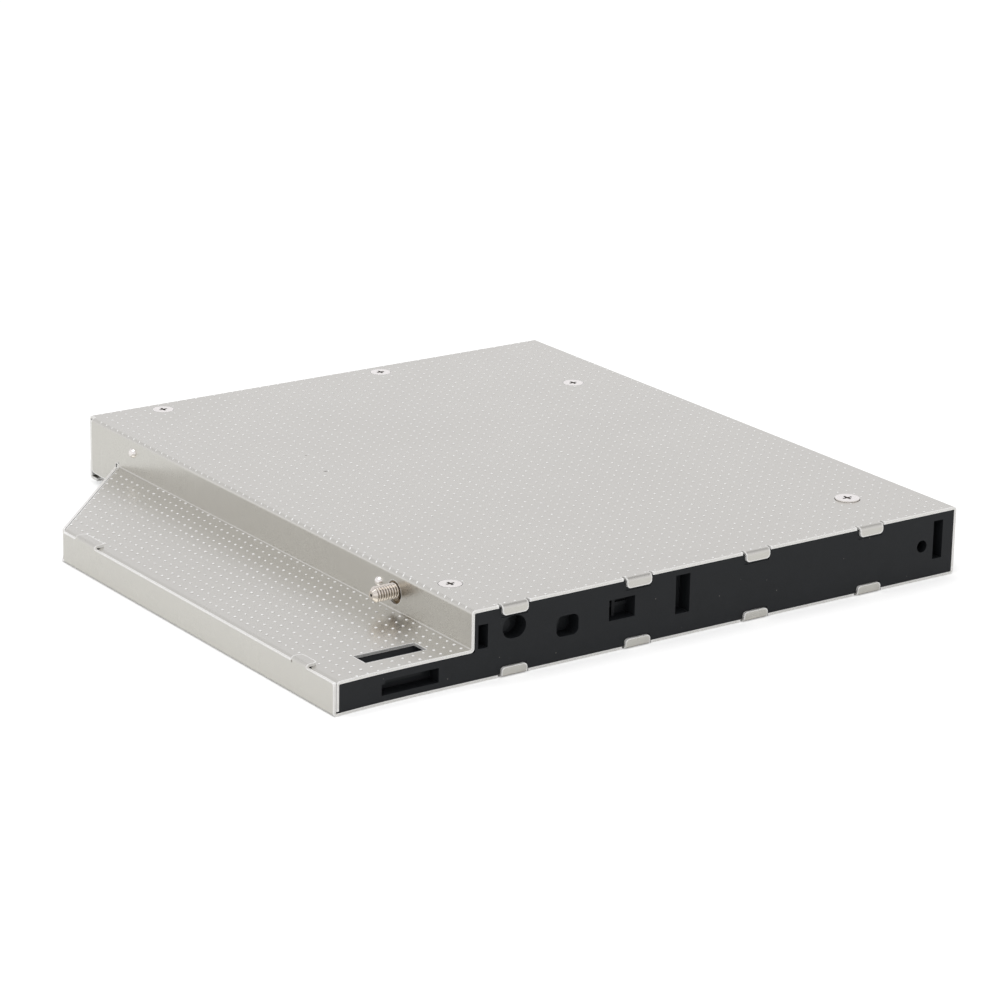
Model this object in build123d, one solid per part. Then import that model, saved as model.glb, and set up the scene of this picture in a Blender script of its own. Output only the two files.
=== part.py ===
from build123d import *
import math
import os

# Slim-bay drive caddy, lying on its full-width sheet with the thin ledge at -X.
# X runs across the bay, -Y is the panel that takes a bezel, +Y goes into the bay first,
# and z = 0 is the flat underside. All sizes are in millimetres.

# Case
width = 128.0
depth = 126.1
height = 12.3
sheet = 0.5
fold_radius = 0.7
fit_gap = 0.08
relief = 0.5

# How far a cutter runs past the case, and how far joined pieces run into each other
past = 12.0
slack = 0.02

# Thin ledge beside the drive space, its chamfered rear corner and its front edge's sweep
ledge_width = 26.4
ledge_height = 5.75
chamfer_rise = 27.5
chamfer_end = 11.9
chamfer_clearance = 0.12
corner_relief = 0.4
corner_hole = (0.85, 0.65, 0.5)
sweep_length = 18.0
sweep_radius = 230.0

# Heights and ends of the folded walls
flange_drop = 4.95
ledge_wall_drop = 0.1
roof_clearance = 1.1
step_clearance = 2.75
rear_wall_inset = 0.95
skirt_gap = 0.2
skirt_bottom = 2.0
upstand = 3.5
upstand_inset = 1.2
lip_rise = 1.0
rear_wall_bottom = 0.8

# Floor's edge behind the ledge: distances from the step and, for its corner, from the rear
floor_inset = 2.1
floor_corner = (0.7, 3.0)

# Front tabs, spread evenly between their distances from the step and from the right side
tab_from_step = 8.15
tab_from_right = 19.4
tab_count = 4
tab_width = 5.0
tab_proud = 0.4
top_tab_drop = 1.75
lower_tab_rise = 1.75
tab_corner = 0.7
notch_width = 0.5
notch_depth = 0.9

# Tabs folded over the ledge: distance from the front edge or from the chamfer, and width
front_ledge_tab = (7.25, 4.6)
rear_ledge_tab = (5.05, 6.7)
ledge_tab_reach = 2.15

# Windows through the ledge: middle from the left side and from the front edge or floor
top_window = (14.8, 5.9)
top_window_size = (11.6, 3.7)
front_window = (14.7, 2.77)
front_window_size = (10.9, 2.5)
window_notch = 0.6
window_depth = 2.6
window_shelf = 8.8
window_shelf_setback = 1.8
window_border = 1.8
pocket_depth = 1.7
pocket_bevel = 1.1
pocket_draft = 0.3

# Drive bay, sized for a 2.5 inch drive of 100.2 x 69.85 x 9.5
drive_width = 69.85
drive_clearance = 0.2
rail_depth = 13.7
mouth_lip = 0.2

# Panel and moulded frames
panel_wall = 1.6
panel_depth = 5.6
rim_wall = 1.2
frame_wall = 1.5
frame_gap = 0.25
rib_wall = 1.0
hole_depth = 2.8
hole_backing = 0.8
hole_rim = 0.8
hole_rib_setback = 2.0
panel_rib_count = 4
rail_rib_count = 8
pocket_gap = 0.1
bend_clearance = 0.25
web_drop = 3.4
web_reach = 4.5
corner_post = 2.4

# Bezel holes: distance of the middle from the step, height of the middle, width, height
slot_hole = (2.15, 7.65, 1.9, 4.05)
oval_hole = (8.2, 8.13, 4.6, 3.8)
rounded_hole = (18.75, 6.35, 4.4, 3.55)
square_hole = (29.65, 7.2, 5.25, 3.6)
tall_hole = (42.1, 7.4, 2.95, 6.75)
rounded_hole_corner = 1.1

# On the floors of the bezel holes: shift of each rib, and the round studs' shifts and diameters
rib_shifts = (-0.55, -0.35, -0.7)
hole_rib = 0.6
oval_stud = (-0.6, -0.1, 2.3)
rounded_stud = (-1.0, 0.15, 1.5)

# Bezel holes at the other end: distance from the right side, height, then the sizes
round_hole = (7.55, 6.3, 2.2)
side_hole = (4.0, 7.0, 2.1, 6.9)

# Screw places: distance from the step or right side, and from the rear, front or bay
rear_left_screw = (14.25, 4.4)
rear_right_screw = (39.3, 4.4)
side_screw = (11.9, 6.65)
front_left_screw = (4.5, 12.85)
front_right_screw = (13.6, 13.15)

# Screws and inserts
shell_screw_head = 3.9
rail_screw_head = 4.3
rail_head_proud = 0.25
screw_thread = 2.0
screw_length = 3.9
thread_gap = 0.02
head_rim = 0.12
head_gap = 0.06
rail_head_gap = 0.12
shell_recess = 1.6
rail_recess = 1.9
recess_arm = 0.45
recess_depth = 0.9
underside_recess = 0.03
insert_diameter = 3.0
insert_length = 3.0
insert_depth = 0.9
boss_diameter = 5.6

# Release screw: distance from the drive bay's edge and from the roof
release_place = (2.8, 3.2)
release_diameter = 2.7
release_running_gap = 0.03
release_outside = 4.5
release_flush_gap = 0.1
release_chamfer = 0.35
release_point = 0.65
socket_size = 0.9
socket_depth = 1.4
wall_hole = 4.0
wall_hole_drop = 0.3

# Nut plate behind the step wall, its collar, and its rivets as for the release screw
nut_collar = 3.3
nut_plate_wall = 0.5
nut_plate_corner = 1.0
nut_plate_margins = (0.55, 1.1)
nut_plate_ends = (5.3, 3.5)
front_rivet = (7.3, 2.95)
rear_rivet = (18.1, 2.55)
rivet_head = 1.8
rivet_shank = 1.2
rivet_proud = 0.75
rivet_gap = 0.02

# Circuit board, its film, standoffs and screws
board_wall = 1.0
board_bottom = 1.5
board_inset = 0.75
board_front_gap = 2.4
board_bay_gap = 2.2
board_frame_gap = 0.3
board_tail_reach = 36.0
board_tail_gap = 2.0
board_under_plug = 2.2
board_notch_gap = 0.1
film_wall = 0.15
film_inset = 0.7
standoff_diameter = 4.4
standoff_foot = 3.4
board_screw_head = 3.6
board_screw_head_wall = 0.9
board_screw_round = 0.35
board_screw_thread = 2.0
board_screw_hole = 2.3
board_recess = (2.0, 0.6)
board_screw_inset = 5.5
front_board_screw = 19.55
chamfer_board_screw = 11.65
tail_board_screw = 4.0

# Chips: size, then distances from the receptacle's front end or from the step
capacitor_size = (3.2, 1.6, 1.5)
capacitor_inset = 11.0
capacitor_rows = (2.3, 5.7, 9.1)
tail_capacitor = 17.6
resistor_size = (2.0, 1.25, 0.55)
resistor_inset = 8.0
resistor_rows = (16.9, 19.5, 22.1)
tail_resistors = (6.6, 10.1)

# Receptacle that takes the drive, with its 7 and 15 contacts
receptacle_offset = 4.8
receptacle_width = 42.6
receptacle_body = 7.6
receptacle_heel = 1.4
receptacle_nose = 4.6
receptacle_bottom = 0.95
receptacle_top = 5.1
nose_width = 36.4
nose_wall = 0.9
nose_step = 0.9
nose_chamfer = 0.3
slot_back = 2.4
contact_pitch = 1.27
contact_width = 0.6
contact_wall = 0.15
contact_setback = 0.6
tail_length = 1.3
signal_contacts = 7
power_contacts = 15

# Plug that meets the computer, with its 7 and 6 contacts
plug_from_step = 16.4
plug_width = 25.6
plug_length = 9.0
plug_height = 4.4
plug_wall = 0.8
plug_back = 2.2
plug_tongue = 1.1
plug_inset = 0.3
tongue_setback = 0.8
tongue_margins = (0.4, 0.3)
plug_contact_setback = 1.2
plug_power_contacts = 6
plug_opening_gap = 0.9
plug_roof_gap = 0.4

# Worked out from the values above
right = width / 2
left = -width / 2
front = -depth / 2
rear = depth / 2
step = left + ledge_width
mid = sheet / 2
chamfer_rear = rear - chamfer_end
chamfer_front = chamfer_rear - chamfer_rise
chamfer_angle = math.atan2(chamfer_rise, ledge_width)
wall_rear = rear - roof_clearance
step_rear = rear - step_clearance
floor_top = sheet + fit_gap
roof = height - sheet - fit_gap
ledge_roof = ledge_height - sheet - fit_gap
flange_x = left + sheet + fit_gap
panel_back = front + panel_wall
rim_back = front + panel_depth
rail_front = rim_back + frame_gap
bay_front = rail_front + rail_depth
bay_rear = bay_front + drive_width + 2 * drive_clearance
bay_middle = (bay_front + bay_rear) / 2
frame_rear = rear - 2 * sheet - 2 * fit_gap
nut_face = step + sheet + nut_plate_wall
frame_left = nut_face + pocket_gap
frame_right = right - sheet - 2 * fit_gap
tab_pitch = (right - tab_from_right - step - tab_from_step) / (tab_count - 1)
tab_places = [step + tab_from_step + tab_pitch * i for i in range(tab_count)]
step_holes = (slot_hole, oval_hole, rounded_hole, square_hole, tall_hole)
receptacle_middle = bay_middle + receptacle_offset
receptacle_face = frame_left + receptacle_nose
receptacle_wall = receptacle_face - receptacle_nose
receptacle_back = receptacle_wall - receptacle_body
receptacle_front = receptacle_middle - receptacle_width / 2
receptacle_counts = (signal_contacts, power_contacts)
board_top = board_bottom + board_wall
plug_middle = step + plug_from_step
plug_end = plug_middle + plug_width / 2
plug_mouth = rear - plug_inset
plug_front = plug_mouth - plug_length
plug_top = board_top + plug_height
plug_counts = (signal_contacts, plug_power_contacts)
tail_front = bay_rear + board_bay_gap
tail_rear = plug_front + board_under_plug
tail_middle = (tail_front + tail_rear) / 2
tail_end = frame_left + board_tail_reach
shell_screw_places = [
    (step + rear_left_screw[0], rear - rear_left_screw[1]),
    (right - rear_right_screw[0], rear - rear_right_screw[1]),
    (right - side_screw[0], bay_rear + side_screw[1]),
]
raised_screw_place = (right - front_right_screw[0], front + front_right_screw[1])
flush_screw_place = (step + front_left_screw[0], front + front_left_screw[1])
rail_screw_places = [raised_screw_place, flush_screw_place]
underside_places = shell_screw_places[1:] + rail_screw_places
board_screw_places = [
    (left + board_screw_inset, front + front_board_screw),
    (left + board_screw_inset, chamfer_front - chamfer_board_screw),
    (plug_end + tail_board_screw, tail_middle),
]
release_y = bay_front + release_place[0]
release_z = height - release_place[1]
rivet_places = [
    (rear - rear_rivet[0], height - rear_rivet[1]),
    (bay_front + front_rivet[0], height - front_rivet[1]),
]


def block(x0, x1, y0, y1, z0, z1):
    """Box between two corners."""
    return Pos((x0 + x1) / 2, (y0 + y1) / 2, (z0 + z1) / 2) * Box(x1 - x0, y1 - y0, z1 - z0)


def along_x(section, start, end):
    """Extrudes a section drawn in Y and Z from x = start to x = end."""
    return extrude(Plane.YZ.offset(start) * section, amount=end - start)


def along_y(section, start, end):
    """Extrudes a section drawn in X and Z from y = start to y = end."""
    return extrude(Plane.XZ.offset(-start) * section, amount=start - end)


def upward(section, bottom, top):
    """Extrudes a plan section from z = bottom to z = top."""
    return extrude(Plane.XY.offset(bottom) * section, amount=top - bottom)


def folded(*points):
    """Section of a folded sheet whose mid-line runs through the points."""
    line = FilletPolyline(*points, radius=fold_radius - mid)
    return trace(line, line_width=sheet)


def outline(*points):
    """Filled outline with straight sides."""
    return make_face(Polyline(*points, close=True))


def post(place, diameter, bottom, top):
    """Upright cylinder at a plan position."""
    middle = (bottom + top) / 2
    return Pos(place[0], place[1], middle) * Cylinder(diameter / 2, top - bottom)


def rod_x(place, diameter, x0, x1):
    """Cylinder along X at a position in Y and Z."""
    middle = Pos((x0 + x1) / 2, place[0], place[1])
    return middle * Rot(0, 90, 0) * Cylinder(diameter / 2, x1 - x0)


def front_trim():
    """Everything ahead of the front edge, which sweeps forward along the ledge."""
    start = left + sweep_length
    ahead = front - 2 * past
    bottom, top = -past, height + past
    plain = block(start, right + past, ahead, front, bottom, top)
    edge = Pos(start, front - sweep_radius, height / 2) * Cylinder(sweep_radius, height + 2 * past)
    return plain + (edge & block(left - past, start, ahead, front, bottom, top))


def chamfer_trim(inset):
    """Everything beyond the chamfered rear corner of the ledge, inset from its outer line."""
    shift = inset / math.cos(chamfer_angle)
    rise = past * math.tan(chamfer_angle)
    x0, y0 = left - past, chamfer_front - shift - rise
    x1, y1 = step + past, chamfer_rear - shift + rise
    return upward(outline((x0, y0), (x1, y1), (x0, y1)), -past, height + past)


def behind_ledge(x_edge, inset):
    """The part of the chamfer trim that lies left of x_edge."""
    region = block(left - past, x_edge, front, rear + past, -past, height + past)
    return chamfer_trim(inset) & region


def tab_notches(z0, z1):
    """Relief notches in a sheet's front edge, one each side of every tab."""
    half = tab_width / 2
    y0, y1 = front - past, front + notch_depth
    cuts = []
    for x in tab_places:
        for start in (x - half - notch_width, x + half):
            cuts.append(block(start, start + notch_width, y0, y1, z0, z1))
    return cuts


def tab_mouths(z0, z1):
    """Clears the sheet's front edge where the tabs take its place."""
    half = tab_width / 2
    y0, y1 = front - past, front + notch_depth
    return [block(x - half, x + half, y0, y1, z0, z1) for x in tab_places]


def front_tabs(flat_z, tip_z):
    """Tabs folded over the front panel from a sheet at flat_z."""
    tab_y = front - tab_proud + mid
    section = folded((front + notch_depth, flat_z), (tab_y, flat_z), (tab_y, tip_z))
    tabs = []
    for x in tab_places:
        tab = along_x(section, x - tab_width / 2, x + tab_width / 2)
        tips = tab.edges().filter_by(Axis.Y).group_by(lambda e: abs(e.center().Z - tip_z))[0]
        tabs.append(fillet(tips, tab_corner))
    return tabs


def countersunk(place, head, surface, down, gap=0.0, proud=0.0):
    """Solid of a countersunk screw, or of its hole when gap is given."""
    radius = head / 2 + gap
    thread = screw_thread / 2 + gap
    extra = past if gap else 0
    top = proud + extra
    seat = -head_rim - (radius - thread)
    tip = -screw_length - (sheet if gap else 0)
    section = outline(
        (0, top), (radius, top), (radius, -head_rim), (thread, seat), (thread, tip), (0, tip)
    )
    screw = revolve(Plane.XZ * section, Axis.Z)
    if not down:
        screw = Rot(180, 0, 0) * screw
    return Pos(place[0], place[1], surface) * screw


def screw_holes(places, head, gap, surface=height, down=True):
    """Hole of each screw of one kind."""
    return [countersunk(p, head, surface, down, gap) for p in places]


def all_screw_holes():
    """Every screw hole through the sheets and into the bosses."""
    return [
        *screw_holes(shell_screw_places, shell_screw_head, head_gap),
        countersunk(flush_screw_place, shell_screw_head, height, True, rail_head_gap),
        countersunk(raised_screw_place, rail_screw_head, height, True, rail_head_gap, rail_head_proud),
        *screw_holes(underside_places, shell_screw_head, head_gap, surface=0, down=False),
    ]


def top_shell():
    """Sheet folded as roof, step wall, ledge, inner flange, right wall and rear wall."""
    section = folded(
        (right - mid, lip_rise + slack),
        (right - mid, height - mid),
        (step + mid, height - mid),
        (step + mid, ledge_height - mid),
        (flange_x + mid, ledge_height - mid),
        (flange_x + mid, ledge_height - flange_drop),
    )
    shell = along_y(section, front - past, wall_rear)
    shell -= behind_ledge(step - slack, sheet + chamfer_clearance)
    y0, top = chamfer_rear - corner_relief, ledge_height + corner_relief
    shell -= block(left - past, step + sheet, y0, rear, -past, top)
    shell += step_skirt()
    shell -= block(step - slack, step + rear_wall_inset, step_rear, rear, -past, height + past)
    shell += rear_wall()
    shell -= tab_mouths(height - sheet - slack, height + past)
    shell -= front_trim()
    shell += front_tabs(height - mid, height - top_tab_drop)
    shell -= tab_notches(height - sheet - slack, height + past)
    return shell - top_shell_openings()


def step_skirt():
    """The step wall's lower part behind the ledge, down to the floor."""
    y0 = chamfer_rear + skirt_gap
    top = ledge_height + 2 * fold_radius
    skirt = block(step, step + sheet, y0, step_rear, skirt_bottom, top)
    lower = skirt.edges().filter_by(Axis.X).sort_by(Axis.Z)[:2]
    return fillet(lower, tab_corner)


def rear_wall():
    """Full-height rear wall with the opening for the bay plug."""
    y = rear - sheet - fit_gap - mid
    bend = wall_rear - sheet
    section = folded((bend, height - mid), (y, height - mid), (y, rear_wall_bottom))
    wall = along_x(section, step + rear_wall_inset, right - fold_radius)
    half = plug_width / 2 + plug_opening_gap
    x0, x1 = plug_middle - half, plug_middle + half
    return wall - block(x0, x1, wall_rear - sheet, rear + past, -past, plug_top + plug_roof_gap)


def top_shell_openings():
    """Drive mouth, ledge window, screw holes and the holes of the step wall."""
    y0, y1 = bay_front - mouth_lip, bay_rear + mouth_lip
    mouth = block(right - 2 * fold_radius, right + past, y0, y1, -past, height - fold_radius)
    x, y = left + top_window[0], front + top_window[1]
    dx, dy = top_window_size
    z0, z1 = ledge_height - 2 * sheet, ledge_height + sheet
    window = block(x - dx / 2, x + dx / 2, y - dy / 2, y + dy / 2, z0, z1)
    wall = (step - sheet, step + sheet + slack)
    holes = [rod_x((release_y, release_z - wall_hole_drop), wall_hole, *wall)]
    holes += [rod_x(p, rivet_shank + 2 * rivet_gap, *wall) for p in rivet_places]
    corner = (chamfer_rear - corner_hole[0], ledge_height + corner_hole[1])
    holes.append(rod_x(corner, corner_hole[2], *wall))
    return [mouth, window, *holes, *all_screw_holes()]


def bottom_shell():
    """Sheet folded as floor, ledge wall, chamfer wall, right lip and rear upstand."""
    section = folded(
        (right - mid, lip_rise),
        (right - mid, mid),
        (left + mid, mid),
        (left + mid, ledge_height - ledge_wall_drop),
    )
    shell = along_y(section, front - past, wall_rear)
    above_floor = block(left - past, right, front, rear + past, sheet, height)
    shell -= chamfer_trim(fold_radius) & above_floor
    shell -= behind_ledge(step, 0)
    shell -= rear_floor_trim()
    shell += chamfer_wall()
    shell += rear_upstand()
    y0, y1 = bay_front - mouth_lip, bay_rear + mouth_lip
    shell -= block(right - fold_radius, right + past, y0, y1, sheet, height)
    shell -= tab_mouths(-past, sheet + slack)
    shell -= front_trim()
    shell += front_tabs(mid, lower_tab_rise)
    shell += ledge_tabs()
    shell -= tab_notches(-past, sheet + slack)
    shell -= [post(p, standoff_foot, -past, 2 * sheet) for p in board_screw_places]
    return shell - all_screw_holes()


def rear_floor_trim():
    """Everything beside the floor's left edge behind the ledge."""
    x0, x1, x2 = left - past, step + upstand_inset, step + floor_inset
    y0, y1, y2 = chamfer_rear, rear - floor_corner[1], rear - floor_corner[0]
    edge = outline((x0, y0), (x2, y0), (x2, y1), (x1, y2), (x1, rear + past), (x0, rear + past))
    return upward(edge, -past, height)


def chamfer_wall():
    """Wall that stands on the floor's chamfered edge, clear of its neighbours at both ends."""
    length = math.hypot(ledge_width, chamfer_rise)
    section = folded((-fold_radius - sheet, mid), (-mid, mid), (-mid, ledge_height))
    wall = along_x(section, relief + sheet, length - relief - sheet)
    return Pos(left, chamfer_front, 0) * Rot(0, 0, math.degrees(chamfer_angle)) * wall


def rear_upstand():
    """Low upstand outside the rear wall, cut away for the bay plug."""
    y = rear - mid
    section = folded((wall_rear - 2 * fold_radius, mid), (y, mid), (y, upstand))
    half = plug_width / 2 + plug_opening_gap
    x0, x1 = plug_middle - half, plug_middle + half
    long_part = along_x(section, x1, right - fold_radius - sheet)
    return long_part + along_x(section, step + upstand_inset, x0)


def ledge_tabs():
    """Tabs of the ledge wall folded flat over the ledge."""
    top = ledge_height + mid + slack
    section = folded(
        (left + mid, ledge_height - 2 * sheet),
        (left + mid, top),
        (left + ledge_tab_reach, top),
    )
    start = front + front_ledge_tab[0]
    end = chamfer_front - rear_ledge_tab[0]
    tabs = []
    for y0, y1 in ((start, start + front_ledge_tab[1]), (end - rear_ledge_tab[1], end)):
        tab = along_y(section, y0, y1)
        tips = tab.edges().filter_by(Axis.Z).sort_by(Axis.X)[-2:]
        tabs.append(fillet(tips, tab_corner))
    return tabs


def panel_outline():
    """Outline in X and Z of the space between the two sheets, less the fit gap."""
    x0 = flange_x + sheet + fit_gap
    x1 = step + sheet + fit_gap
    return outline(
        (x0, floor_top),
        (frame_right, floor_top),
        (frame_right, roof),
        (x1, roof),
        (x1, ledge_roof),
        (x0, ledge_roof),
    )


def panel_slots():
    """Outlines in X and Z of the holes through the panel, left to right."""
    slot, oval, rounded, square, tall = [(step + hole[0], *hole[1:]) for hole in step_holes]
    return [
        Pos(slot[0], slot[1]) * Rectangle(slot[2], slot[3]),
        Pos(oval[0], oval[1]) * SlotOverall(oval[2], oval[3]),
        Pos(rounded[0], rounded[1]) * RectangleRounded(rounded[2], rounded[3], rounded_hole_corner),
        Pos(square[0], square[1]) * Rectangle(square[2], square[3]),
        Pos(tall[0], tall[1]) * Rectangle(tall[2], tall[3]),
        Pos(right - round_hole[0], round_hole[1]) * Circle(round_hole[2] / 2),
        Pos(right - side_hole[0], side_hole[1]) * Rectangle(side_hole[2], side_hole[3]),
    ]


def panel_ribs():
    """Upright ribs behind the panel between its tall hole and its round hole."""
    half = rib_wall / 2
    first, last = step + tall_hole[0], right - round_hole[0]
    pitch = (last - first) / (panel_rib_count + 1)
    middles = [first + pitch * (i + 1) for i in range(panel_rib_count)]
    return [block(x - half, x + half, panel_back, rim_back, floor_top, roof) for x in middles]


def hole_backs():
    """Blocks behind the panel that close its bezel holes."""
    y1 = front + hole_depth + hole_backing
    holes = [(step + hole[0], *hole[1:]) for hole in step_holes]
    holes.append((right - side_hole[0], *side_hole[1:]))
    blocks = []
    for x, z, across, high in holes:
        half_x, half_z = across / 2 + hole_rim, high / 2 + hole_rim
        x0 = max(x - half_x, step + sheet + fit_gap)
        z0, z1 = max(z - half_z, floor_top), min(z + half_z, roof)
        blocks.append(block(x0, x + half_x, panel_back, y1, z0, z1))
    return blocks


def hole_floor_details():
    """Ribs and round studs on the floors of the bezel holes."""
    y0, y1 = front + hole_rib_setback, front + hole_depth + slack
    half = hole_rib / 2
    details = []
    for hole, shift in zip((slot_hole, square_hole, tall_hole), rib_shifts):
        x, z, high = step + hole[0] + shift, hole[1], hole[3]
        details.append(block(x - half, x + half, y0, y1, z - high / 2, z + high / 2))
    x, z, across = step + square_hole[0], square_hole[1], square_hole[2] / 2
    details.append(block(x - across, x + across, y0 + half, y1, z - half, z + half))
    for hole, stud in ((oval_hole, oval_stud), (rounded_hole, rounded_stud)):
        place = Pos(step + hole[0] + stud[0], hole[1] + stud[1])
        details.append(along_y(place * Circle(stud[2] / 2), y0, y1))
    return details


def front_panel():
    """Moulded panel with bezel holes, a rim behind it, ribs and the ledge block."""
    face = panel_outline()
    panel = along_y(face, front - past, panel_back) - front_trim()
    inner = offset(face, -rim_wall, kind=Kind.INTERSECTION)
    panel += along_y(face, panel_back, rim_back) - along_y(inner, panel_back, rim_back + past)
    panel += panel_ribs() + hole_backs()
    panel -= along_y(Sketch() + panel_slots(), front - past, front + hole_depth)
    panel += hole_floor_details()
    panel += ledge_block()
    panel -= front_window_recess()
    return panel - tab_pockets()


def ledge_block():
    """Block that fills the ledge behind the two windows, with a bevelled pocket."""
    x, y = left + top_window[0], front + top_window[1]
    half_x, half_y = top_window_size[0] / 2 + pocket_gap, top_window_size[1] / 2 + pocket_gap
    x0, x1 = x - half_x - window_border, x + half_x + window_border
    body = block(x0, x1, panel_back - pocket_gap, y + half_y + window_border, floor_top, ledge_roof)
    y0, y1 = y - half_y, y + half_y
    top, deep = ledge_roof + slack, ledge_roof - pocket_depth
    section = outline((y0, top), (y1, top), (y1 - pocket_bevel, deep), (y0 + pocket_draft, deep))
    return body - along_x(section, x - half_x, x + half_x)


def front_window_recess():
    """Recess in the panel's face at the ledge, with a shallower shelf in its upper half."""
    x, z = left + front_window[0], front_window[1]
    x0, x1 = x - front_window_size[0] / 2, x + front_window_size[0] / 2
    z0, z1 = z - front_window_size[1] / 2, z + front_window_size[1] / 2
    notch_x, notch_z = x0 + window_notch, z1 - window_notch
    shape = outline((x0, z0), (x1, z0), (x1, z1), (notch_x, z1), (notch_x, notch_z), (x0, notch_z))
    shelf = block(x0, x0 + window_shelf, front + window_shelf_setback, front + window_depth, z, z1)
    return along_y(shape, front - sheet - past, front + window_depth) - shelf


def tab_pockets():
    """Shallow pockets in the panel's face where the tabs and their bends lie."""
    half = tab_width / 2 + pocket_gap
    flat = front - tab_proud + sheet + slack
    bend = flat + bend_clearance
    top = (roof + fit_gap - top_tab_drop, height + past)
    low = (-past, lower_tab_rise + pocket_gap)
    bends = ((roof - bend_clearance, height + past), (-past, floor_top + bend_clearance))
    pockets = []
    for x in tab_places:
        x0, x1 = x - half, x + half
        pockets += [block(x0, x1, front - past, flat, *span) for span in (top, low)]
        pockets += [block(x0, x1, front - past, bend, *span) for span in bends]
    return pockets


def insert_places():
    """Place and span of every insert: below each top screw, above each underside screw."""
    spans = []
    for p in shell_screw_places + rail_screw_places:
        spans.append((p, roof - insert_depth - insert_length, roof - insert_depth))
    for p in underside_places:
        spans.append((p, floor_top + insert_depth, floor_top + insert_depth + insert_length))
    return spans


def insert_bores():
    """Bores that hold the brass inserts."""
    return [post(p, insert_diameter, z0, z1) for p, z0, z1 in insert_places()]


def bosses(places):
    """Screw bosses of a moulded frame."""
    return [post(p, boss_diameter, floor_top, roof) for p in places]


def ring(y0, y1):
    """Rectangular frame across the drive bay with one wall thickness."""
    w = frame_wall
    outer = block(frame_left, frame_right, y0, y1, floor_top, roof)
    return outer - block(frame_left + w, frame_right - w, y0 + w, y1 - w, -past, height + past)


def front_rail():
    """Moulded rail between the panel and the drive, with bosses and ribs."""
    y0, y1 = rail_front, bay_front
    rail = ring(y0, y1)
    half = rib_wall / 2
    pitch = (frame_right - frame_left) / (rail_rib_count + 1)
    for i in range(1, rail_rib_count + 1):
        x = frame_left + pitch * i
        rail += block(x - half, x + half, y0, y1, floor_top, roof)
    web = (floor_top + roof) / 2
    rail += block(frame_left, frame_right, y0, y1, web - half, web + half)
    rail += bosses(rail_screw_places)
    return rail - insert_bores() - all_screw_holes()


def rear_frame():
    """Moulded frame between the drive and the rear wall, open below over the board's tail."""
    y0, y1 = bay_rear, frame_rear
    half = rib_wall / 2
    frame = ring(y0, y1)
    wall_end = tail_end + board_tail_gap
    middle_x, (side_x, side_y) = shell_screw_places[1][0], shell_screw_places[2]
    for x in (middle_x, (middle_x + right) / 2):
        frame += block(x - half, x + half, y0, y1, floor_top, roof)
    web = roof - web_drop
    frame += block(frame_left, frame_right, y0, y0 + web_reach, web - rib_wall, web)
    frame += block(side_x - half, side_x + half, y0, side_y, floor_top, roof)
    frame += bosses(shell_screw_places)
    over_board = plug_top + board_frame_gap
    frame -= block(frame_left - past, wall_end, y0 - slack, y1 + slack, -past, over_board)
    frame += block(wall_end, wall_end + frame_wall, y0, y1, floor_top, roof)
    x1, y1 = frame_left + frame_wall, y0 + corner_post
    frame += block(frame_left, x1, y0, y1, board_top + board_frame_gap, roof)
    return frame - insert_bores() - all_screw_holes()


def nut_plate():
    """Plate riveted behind the step wall, with a tapped collar for the release screw."""
    x0 = step + sheet
    y0, y1 = release_y - nut_plate_ends[0], rivet_places[0][0] + nut_plate_ends[1]
    z0, z1 = ledge_height + nut_plate_margins[0], height - nut_plate_margins[1]
    plate = block(x0, nut_face, y0, y1, z0, z1)
    plate = fillet(plate.edges().filter_by(Axis.X), nut_plate_corner)
    plate += rod_x((release_y, release_z), nut_collar, step + slack, x0 + slack)
    bore = release_diameter + 2 * release_running_gap
    plate -= rod_x((release_y, release_z), bore, step - past, nut_face + past)
    return plate - [rod_x(p, rivet_shank, x0 - sheet, nut_face + sheet) for p in rivet_places]


def release_screw():
    """Headless screw that pushes the drive off its receptacle, with a hex socket."""
    x0 = step - release_outside
    screw = rod_x((release_y, release_z), release_diameter, x0, nut_face - release_flush_gap)
    point = screw.edges().filter_by(GeomType.CIRCLE).sort_by(Axis.X)[0]
    screw = chamfer(point, release_point)
    screw = chamfer(screw.edges().filter_by(GeomType.CIRCLE).sort_by(Axis.X)[-1], release_chamfer)
    hexagon = RegularPolygon(socket_size / math.sqrt(3), 6)
    socket = extrude(Plane.YZ * hexagon, amount=socket_depth)
    return screw - Pos(x0, release_y, release_z) * socket


def rivets():
    """Domed rivets that hold the nut plate."""
    dome_radius = (rivet_head**2 / 4 + rivet_proud**2) / (2 * rivet_proud)
    made = []
    for y, z in rivet_places:
        shank = rod_x((y, z), rivet_shank, step - slack, nut_face)
        dome = Pos(step - rivet_proud + dome_radius, y, z) * Sphere(dome_radius)
        head = dome & rod_x((y, z), 2 * rivet_head, step - rivet_head, step)
        made.append(shank + head)
    return made


def cross_recess(place, face, down, size, deep):
    """Cross-shaped driver recess in a screw's face."""
    z0, z1 = (face - deep, face + deep)
    x, y = place
    long_half, half = size / 2, recess_arm / 2
    across = block(x - long_half, x + long_half, y - half, y + half, z0, z1)
    return across + block(x - half, x + half, y - long_half, y + long_half, z0, z1)


def screw_set(places, head, recess, surface, down=True, proud=0.0):
    """Countersunk screws of one kind with their recesses."""
    face = surface + proud
    return [
        countersunk(p, head, surface, down, proud=proud)
        - cross_recess(p, face, down, recess, recess_depth)
        for p in places
    ]


def shell_screws():
    """Flush screws through the roof into the rear frame."""
    return screw_set(shell_screw_places, shell_screw_head, shell_recess, height)


def rail_screws():
    """A raised and a flush screw through the roof into the front rail."""
    raised = [raised_screw_place]
    made = screw_set(raised, rail_screw_head, rail_recess, height, proud=rail_head_proud)
    return made + screw_set([flush_screw_place], shell_screw_head, shell_recess, height)


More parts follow.
